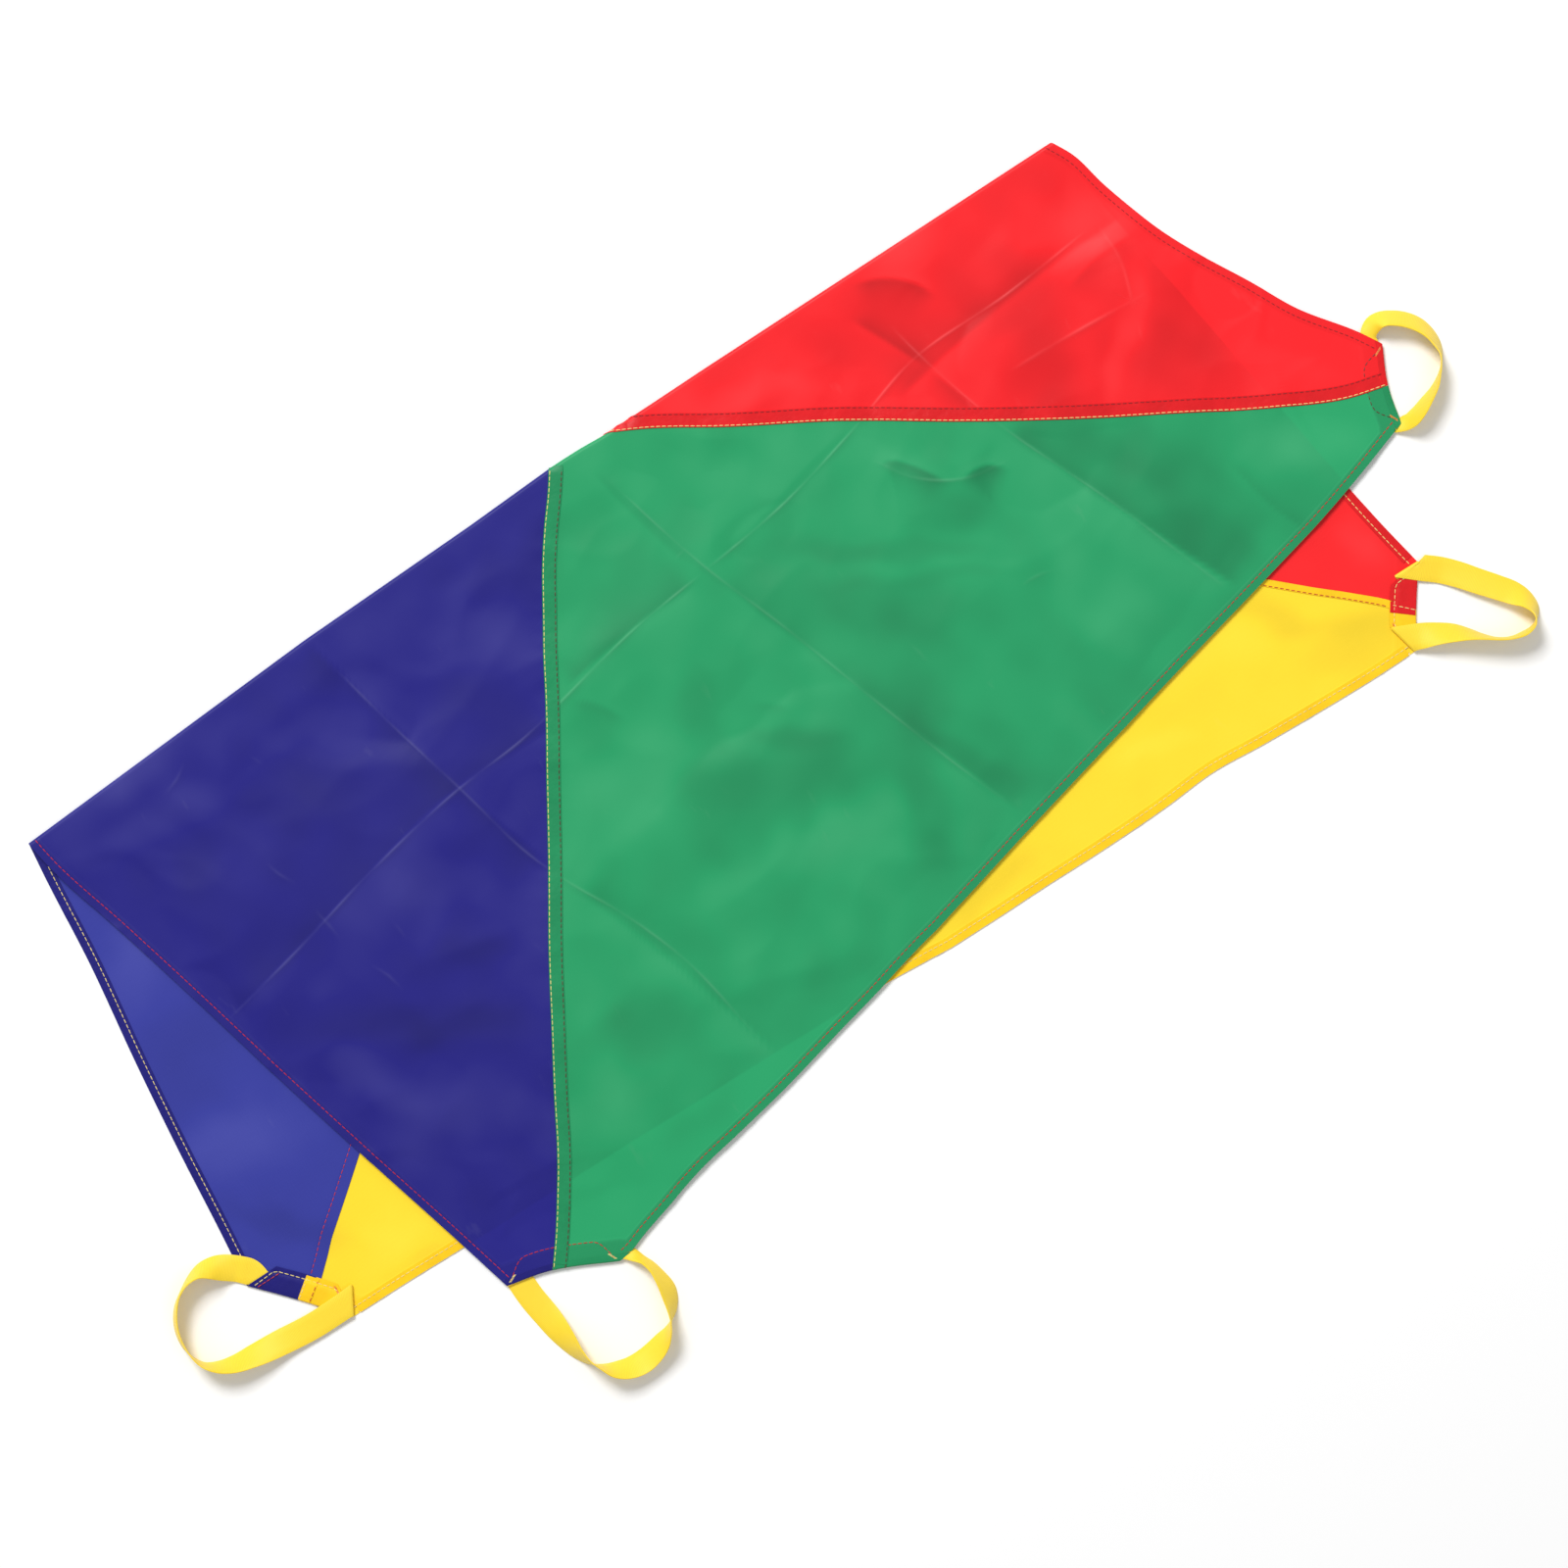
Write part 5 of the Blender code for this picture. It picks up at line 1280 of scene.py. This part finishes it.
class ParachuteCasings(bpy.types.Operator):
    """Turns the cloth over the webbing at the four cut corners"""

    bl_idname = "parachute.casings"
    bl_label = "Casings"

    def execute(self, context):
        profile = casing_profile()
        reach, lift, flap = profile.T[:, None]
        share = np.linspace(0, 1, 22)[:, None]
        for key, corner in CORNERS.items():
            first, second = key.split("_")
            border = corner.place_along(corner.border)
            inner = corner.ended(OUTLINES[key], corner.cut(border) + FLAP_DEPTH)[-1]
            border_slant = (corner.place_along(inner) - border) / (corner.depth(inner) - corner.depth(corner.border))
            for tone, node, sign, outline in (
                (first, f"{first}_casing_{corner.half}", 1, OUTLINES[f"{corner.half}_{first}"]),
                (second, f"{second}_casing_near_{first}", -1, OUTLINES[second][:: -1 if first == "blue" else 1]),
            ):
                start = -sign * corner.reach
                edge_slant = (corner.place_along(corner.ended(outline, PANEL_END)[-1]) - start) / PANEL_END
                slant = (edge_slant * (1 - flap) + sign * MOUTH_SLANT * flap) * (1 - share) + border_slant * share
                along = start + (border - sign * SEAM_GAP - start) * share + slant * reach
                depth = corner.cut(start + (border - start) * share) + reach
                ripple = 0.12 * np.sin(along / 2.3 + 3 * share) * flap * ease((reach - 15) / 3)
                middle = corner.at(along, depth, corner.level + corner.side * (lift + ripple))
                normal = square_to(middle)
                outer = normal * np.sign(normal[10, -3, 2] * corner.side) * mm(sizes().cloth) / 2
                finishes = finish(tone + "_turned"), finish(tone + "_inner")
                piece = shell(node + "_cloth", middle - outer, middle + outer, *finishes, PLAIN)
                net = np.stack([along, np.broadcast_to(steps_of(middle[10], 3), along.shape)], -1)
                settle(piece, net, tone, (node,), [panel_of(tone)], corner.half)
        share = np.linspace(0, 1, 20)[:, None]
        across = np.linspace(0, 1, 4)[None, :]
        for key, tone, first, second, casing in FLAP_SEAMS:
            corner = CORNERS[key]
            near, far = (a + (b - a) * across for a, b in zip(first, second))
            along = near + (far - near) * share
            net = np.stack([along, 0.9 + 19.0 * share + corner.cut(along)], -1)
            points, up = (part.reshape(*along.shape, 3) for part in corner.flap(net.reshape(-1, 2)))
            piece = shell(key + "_flap_seam_cloth", points + up * 0.2, points + up * 0.6, finish(tone + "_turned"))
            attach(piece, corner.half + "_half")
            declare(net)
        return {"FINISHED"}


def sections_of(route):
    """Middles and half widths of a webbing's sections along a route of along, out, tilt, lift and width."""
    line = spaced(smooth([(a, o, radians(t), h, w) for a, o, t, h, w in route], 2.5), 2.0)
    way = unit(np.gradient(line[:, :2], axis=0))
    tilt, lift, half = line[:, 2], line[:, 3], line[:, 4] / 2
    thick = mm(sizes().webbing_thickness) / 2
    height = half * np.abs(np.sin(tilt)) + thick * np.abs(np.cos(tilt)) + lift
    across = np.stack([way[:, 1], -way[:, 0]], -1) * (half * np.cos(tilt))[:, None]
    return np.column_stack([line[:, :2], height, across, half * np.sin(tilt)])


def folded_over(fold, inside, outside, rise):
    """Sections from a webbing's last one inside a mouth, over a folded edge, to its first one outside."""
    inner, outer = (np.array(p, float) for p in fold)
    middle, half = (inner + outer) / 2, (outer - inner) / 2
    half = half if half @ inside[3:5] > 0 else -half
    away = np.array([half[1], -half[0]]) / np.hypot(*half)
    away = away if away @ (middle - inside[:2]) > 0 else -away
    low, high = inside[2], inside[2] + rise
    made = []
    for share in np.linspace(0, 1, 6)[1:]:
        spot, across = inside[:2] + (middle - inside[:2]) * share, inside[3:5] + (half - inside[3:5]) * share
        made.append([*spot, low, *across, 0])
    for angle in np.linspace(0, pi, 7)[1:-1]:
        made.append([*(middle + away * sin(angle)), low + rise * (1 - cos(angle)) / 2, *half, 0])
    for share in np.linspace(0, 1, 7)[:-1]:
        spot, across = middle + (outside[:2] - middle) * share, half + (outside[3:5] - half) * share
        made.append([*spot, high + (outside[2] - high) * share, *across, outside[5] * share])
    return np.array(made)


# The webbing's section: places across it as shares of its half width, and the thickness at each
SECTION = np.array([-1, -0.94, -0.5, 0, 0.5, 0.94, 1])
SECTION_THICKNESS = np.array([0.55, 0.9, 1, 1, 1, 0.9, 0.55])
# Half the width of the folded webbing in a casing, and how far a fold rises in each half
FOLDED_HALF = 6.5
FOLD_RISE = {"lower": 2.1, "upper": -1.75}
# Depths inside a cut between which the real webbing bends when its loop is lifted; the handles work out these places
# and use them for nothing
BEND = (0.5, -9.0)


class ParachuteHandles(bpy.types.Operator):
    """Threads the webbing handles through the casings"""

    bl_idname = "parachute.handles"
    bl_label = "Handles"

    def execute(self, context):
        full, thick = mm(sizes().webbing), mm(sizes().webbing_thickness)
        for key, route in ROUTES.items():
            corner = CORNERS[key]
            channel = corner.level + corner.side * TURN_RADIUS
            border = float(corner.place_along(corner.border))
            bent = float(corner.cut(border))
            loop = sections_of(route)
            parts = [loop]
            for sign, fold in zip((-1, 1), FOLDS[key]):
                met = loop[0] if sign < 0 else loop[-1]
                facing = np.sign(met[4])
                mouth = met[0] - sign * 3
                if fold:
                    facing = np.sign(met[3:5] @ (np.array(fold[1]) - np.array(fold[0])))
                    mouth = (fold[0][0] + fold[1][0]) / 2 - sign * 8
                across = (0, facing * FOLDED_HALF, 0)
                inside = np.array([
                    [border + (mouth - border) * share, -CHANNEL - bent * (1 - share), channel, *across]
                    for share in np.linspace(0, 1, 6)
                ])
                if fold:
                    inside = np.vstack([inside, folded_over(fold, inside[-1], met, FOLD_RISE[corner.half])])
                parts = [inside] + parts if sign < 0 else parts + [inside[::-1]]
            rows = np.vstack(parts).T[..., None]
            along, out, height = rows[:3] + rows[3:] * SECTION
            middle = corner.at(along, -out, height)
            half = square_to(middle) * (thick / 2 * SECTION_THICKNESS)[None, :, None]
            steps = steps_of(middle[:, 3], 3)
            piece = shell(key + "_handle_webbing", middle - half, middle + half, finish("webbing"))
            tape = piece.data.uv_layers.new(name="tape")
            ribs, sides = np.meshgrid(steps * MM, SECTION * full / 2 * MM, indexing="ij")
            places = np.tile(np.stack([ribs.ravel(), sides.ravel()], -1), (2, 1))
            corners_of_faces = np.zeros(len(piece.data.loops), np.int32)
            piece.data.loops.foreach_get("vertex_index", corners_of_faces)
            tape.data.foreach_set("uv", places[corners_of_faces].ravel().astype(np.float32))
            start, end = (tuple(placed(corner.at(0.0, depth, 0.0))) for depth in BEND)
            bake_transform(piece)
            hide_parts(key + "_handle", key + "_webbing_anchor")
            area = full * steps[-1] * MM * MM
            full * MM
        return {"FINISHED"}


# Rings of a stitch from end to end: place along it, thickness and rise, as shares of its own
STITCH_RINGS = ((-1, 0.35, -0.1), (-0.55, 0.95, 0.25), (0.55, 0.95, 0.25), (1, 0.35, -0.1))
STITCH_SIDES = 5


def stitch_row(name, line, side, tone, body, lift=0.0, pitch=None, flap=None):
    """A row of stitches along a line on the flat cloth or on a corner's flap, on one side of it."""
    long, thin = mm(sizes().stitch) / 2, mm(sizes().thread) / 2
    places = spaced(line, pitch or mm(sizes().stitch_pitch))
    middles = (places[:-1] + places[1:]) / 2
    if flap:
        points, normal = flap.flap(middles)
        way = flap.flap(places[1:])[0] - flap.flap(places[:-1])[0]
    else:
        points = lie(*middles.T)
        normal = outward(*middles.T) * side
        way = lie(*places[1:].T) - lie(*places[:-1].T)
    way = unit(way)
    across = np.cross(normal, way)
    above_cloth = mm(sizes().cloth) / 2 + lift
    round_thread = [(cos(a), sin(a)) for a in np.arange(STITCH_SIDES) * 2 * pi / STITCH_SIDES]
    shape = np.array([
        (end * long, c * thin * fat, s * thin * fat + above_cloth + thin * rise)
        for end, fat, rise in STITCH_RINGS for c, s in round_thread
    ])
    axes = enumerate((way, across, normal))
    points = points[:, None] + sum(axis[:, None] * shape[None, :, k:k + 1] for k, axis in axes)
    count = len(shape)
    template = []
    for start in range(0, count - STITCH_SIDES, STITCH_SIDES):
        for k in range(STITCH_SIDES):
            a, b = start + k, start + (k + 1) % STITCH_SIDES
            template.append((a, b, b + STITCH_SIDES, a + STITCH_SIDES))
    template += [tuple(range(STITCH_SIDES))[::-1], tuple(range(count - STITCH_SIDES, count))]
    faces = [tuple(k + n * count for k in face) for n in range(len(points)) for face in template]
    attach(mesh_piece(name, placed(points.reshape(-1, 3)), faces, finish(tone)), body)


# Hems: half, colour and thread of the outer side
HEM_ROWS = (
    ("upper", "blue", "red_thread"), ("upper", "red", "deep_thread"), ("lower", "blue", "red_thread"),
    ("lower", "red", "deep_thread"), ("upper", "green", "red_thread"), ("lower", "yellow", "red_thread"),
)
# Rows on the lower flaps: corner, name, thread, and both ends in the corner's directions
FLAP_ROWS = (
    ("blue_yellow", "border", "pale_thread", ((0.6, 19.4), (-0.7, 1.6))),
    ("blue_yellow", "strip", "red_thread", ((9.0, 19.4), (7.4, 1.6))),
    ("red_yellow", "border", "pale_thread", ((-0.6, 19.2), (2.8, 1.6))),
    ("blue_yellow", "mouth", "red_thread", ((-20.6, 16.4), (-33.4, 1.6))),
)
# Casings: corner, and threads of the outer row and the tacks
CASING_ROWS = (
    ("blue_green", "red_thread", "pale_thread"), ("red_green", "dark_thread", "orange_thread"),
    ("blue_yellow", "pale_thread", "orange_thread"), ("red_yellow", "red_thread", "orange_thread"),
)
# Distance of a seam's first row from its line and of the second from the strip's edge, and the tacks' pitch
FIRST_ROW, LAST_ROW = 1.0, 0.8
TACK_PITCH = 1.3


class ParachuteStitching(bpy.types.Operator):
    """Sews the rows of stitches along the hems and seams"""

    bl_idname = "parachute.stitching"
    bl_label = "Stitching"

    def execute(self, context):
        inset = mm(sizes().hem_stitches)
        turned = mm(sizes().turned) + LAYER_GAP
        for half, tone, thread in HEM_ROWS:
            name, body = f"{half}_{tone}", half + "_half"
            if name in OUTLINES:
                corner = CORNERS[tone + ("_green" if half == "upper" else "_yellow")]
                line = into(corner.ended(OUTLINES[name], HEM_STITCH_END), inset, tone)
                line = line[line[:, 1] > 0.5 if half == "upper" else line[:, 1] < -4.2]
            else:
                name, line = tone, into(edge_between(tone, HEM_STITCH_END), inset, tone)
            stitch_row(name + "_hem_stitches", line, 1, thread, body)
            stitch_row(name + "_hem_stitches_inside", line, -1, "pale_thread", body, turned)
        for key, panel, half, side, thread in SEAMS:
            if side > 0:
                line = CORNERS[key].stopped(OUTLINES[key], 2)
                line = line[line[:, 1] > 0.5]
                second = mm(sizes().seam_rows) + FIRST_ROW
            else:
                line = seam_inside(key, FLAP_DEPTH + 1)
                line = line[line[:, 1] < -7]
                second = mm(getattr(sizes(), "seam_" + panel)) - LAST_ROW
            for row, away, tone in (("first", FIRST_ROW, "pale_thread"), ("second", second, thread)):
                sewn = into(line, away, panel)
                sewn = sewn[sewn[:, 1] > 1] if side > 0 else sewn
                name = f"{key}_seam_{row}_stitches"
                if side > 0 or row == "second":
                    stitch_row(name, sewn, side, tone, half + "_half", turned)
                if side < 0 or row == "second":
                    stitch_row(name + "_behind", sewn, -side, tone, half + "_half")
        for key, name, tone, ends in FLAP_ROWS:
            name = f"{key}_flap_seam_{name}_stitches"
            stitch_row(name, line_of(ends), -1, tone, "lower_half", 0.45, None, CORNERS[key])
        for key, outer, tack in CASING_ROWS:
            corner = CORNERS[key]
            body = corner.half + "_half"
            tip = np.array([corner.reach - 3, 2.8])
            turn = tip[0] - MOUTH_SLANT * STITCH_DEPTH
            knee = np.array([turn, STITCH_DEPTH])
            level = np.linspace(-turn, turn, 16)
            sewn = np.stack([level, STITCH_DEPTH + corner.cut(level)], -1)
            run = smooth(np.vstack([tip * [-1, 1], sewn, tip]), 2)
            stitch_row(key + "_casing_stitches", corner.spot(*run.T), 1, outer, body)
            inner_tip = tip - [2.6, 1.0]
            ends = (inner_tip * [-1, 1], sewn[0]), (sewn[-1], inner_tip)
            first, last = (spaced(np.vstack(pair), 2) for pair in ends)
            run = np.vstack([first, sewn[1:-1], last])
            stitch_row(key + "_casing_stitches_inside", run, -1, "pale_thread", body, 0.3, None, corner)
            for row, shift in (("a", -0.55), ("b", 0.55)):
                for place, sign in (("first", -1), ("second", 1)):
                    sewn = np.array([tip + [shift, 0], tip + (knee - tip) * 0.28 + [shift, 0]]) * [sign, 1]
                    stitch_row(f"{key}_{place}_tack_{row}", corner.spot(*sewn.T), 1, tack, body, 0.05, TACK_PITCH)
                sewn = np.array([knee + [shift - 2, 1.5], knee + (tip - knee) * 0.4 + [shift, 0]])
                stitch_row(f"{key}_tack_inside_{row}", sewn, -1, tack, body, 0.12, TACK_PITCH, corner)
        return {"FINISHED"}


# The middle of the camera's view on the plan and its width, in millimetres
PHOTO_MIDDLE = (495.4, -285.1)
PHOTO_WIDTH = 1184.0
# Lamps: name, place to the right, up and above in metres, size in metres and power in watts
LAMPS = (("key_light", -2.2, 3.5, 4.6, 2.2, 330), ("fill_light", 2.4, -1.6, 4.8, 3.0, 30))
WORLD_LIGHT = 0.45
FLOOR_SIZE = 8
FLOOR_TONE = 0.95
LENS, SENSOR = 85, 36


class ParachuteStage(bpy.types.Operator):
    """Sets the floor, the lights and the camera straight above"""

    bl_idname = "parachute.stage"
    bl_label = "Stage"

    def execute(self, context):
        bpy.ops.object.select_all(action="DESELECT")
        bpy.ops.mesh.primitive_plane_add(size=FLOOR_SIZE, location=(0, 0, -0.0002))
        floor = context.object
        floor.name = "floor"
        paint = Finish("floor").surface(Base_Color=(FLOOR_TONE,) * 3, Roughness=0.9, Specular_IOR_Level=0.0)
        floor.data.materials.append(paint)
        scene = context.scene
        world = bpy.data.worlds.new("studio")
        world.use_nodes = True
        sky = world.node_tree.nodes["Background"].inputs
        sky["Color"].default_value = (1, 1, 1, 1)
        sky["Strength"].default_value = WORLD_LIGHT
        scene.world = world
        middle = placed((*PHOTO_MIDDLE, 0))
        turn = radians(PHOTO_TURN)

        def seen(right, up, height):
            """A place given in the camera's directions."""
            across, back = right * cos(turn) - up * sin(turn), right * sin(turn) + up * cos(turn)
            return Vector((middle[0] + across, middle[1] + back, height))

        for name, right, up, height, size, power in LAMPS:
            data = bpy.data.lights.new(name, "AREA")
            data.size = size
            data.energy = power
            lamp = bpy.data.objects.new(name, data)
            context.collection.objects.link(lamp)
            lamp.location = seen(right, up, height)
            lamp.rotation_euler = (seen(0, 0, 0) - lamp.location).to_track_quat("-Z", "Y").to_euler()
        data = bpy.data.cameras.new("camera")
        data.lens = LENS
        data.sensor_width = SENSOR
        camera = bpy.data.objects.new("camera", data)
        context.collection.objects.link(camera)
        camera.location = seen(0, 0, PHOTO_WIDTH * MM * LENS / SENSOR)
        camera.rotation_euler = (0, 0, turn)
        scene.camera = camera
        scene.view_settings.view_transform = "Standard"
        return {"FINISHED"}


class ParachutePanel(bpy.types.Panel):
    """Sizes, colours and pieces of the parachute"""

    bl_idname = "VIEW3D_PT_parachute"
    bl_label = "Play Parachute"
    bl_space_type = "VIEW_3D"
    bl_region_type = "UI"
    bl_category = "Parachute"

    def draw(self, context):
        for group in (context.scene.parachute_sizes, context.scene.parachute_colours):
            for name in group.__annotations__:
                self.layout.prop(group, name)
        for operator in OPERATORS:
            self.layout.operator(operator.bl_idname)


OPERATORS = (
    ParachutePanels, ParachuteHems, ParachuteSeams, ParachuteCasings, ParachuteHandles, ParachuteStitching,
    ParachuteStage,
)
CLASSES = (ParachuteSizes, ParachuteColours, *OPERATORS, ParachutePanel)


def register():
    for made in CLASSES:
        bpy.utils.register_class(made)
    bpy.types.Scene.parachute_sizes = PointerProperty(type=ParachuteSizes)
    bpy.types.Scene.parachute_colours = PointerProperty(type=ParachuteColours)


def unregister():
    del bpy.types.Scene.parachute_colours
    del bpy.types.Scene.parachute_sizes
    for made in reversed(CLASSES):
        bpy.utils.unregister_class(made)


def main():
    """Registers the add-on and dresses the parachute, step by step."""
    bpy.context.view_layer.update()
    register()
    for step in ("panels", "hems", "seams", "casings", "handles", "stitching", "stage"):
        if getattr(bpy.ops.parachute, step)() != {"FINISHED"}:
            raise RuntimeError(step + " did not finish")


if __name__ == "__main__":
    main()
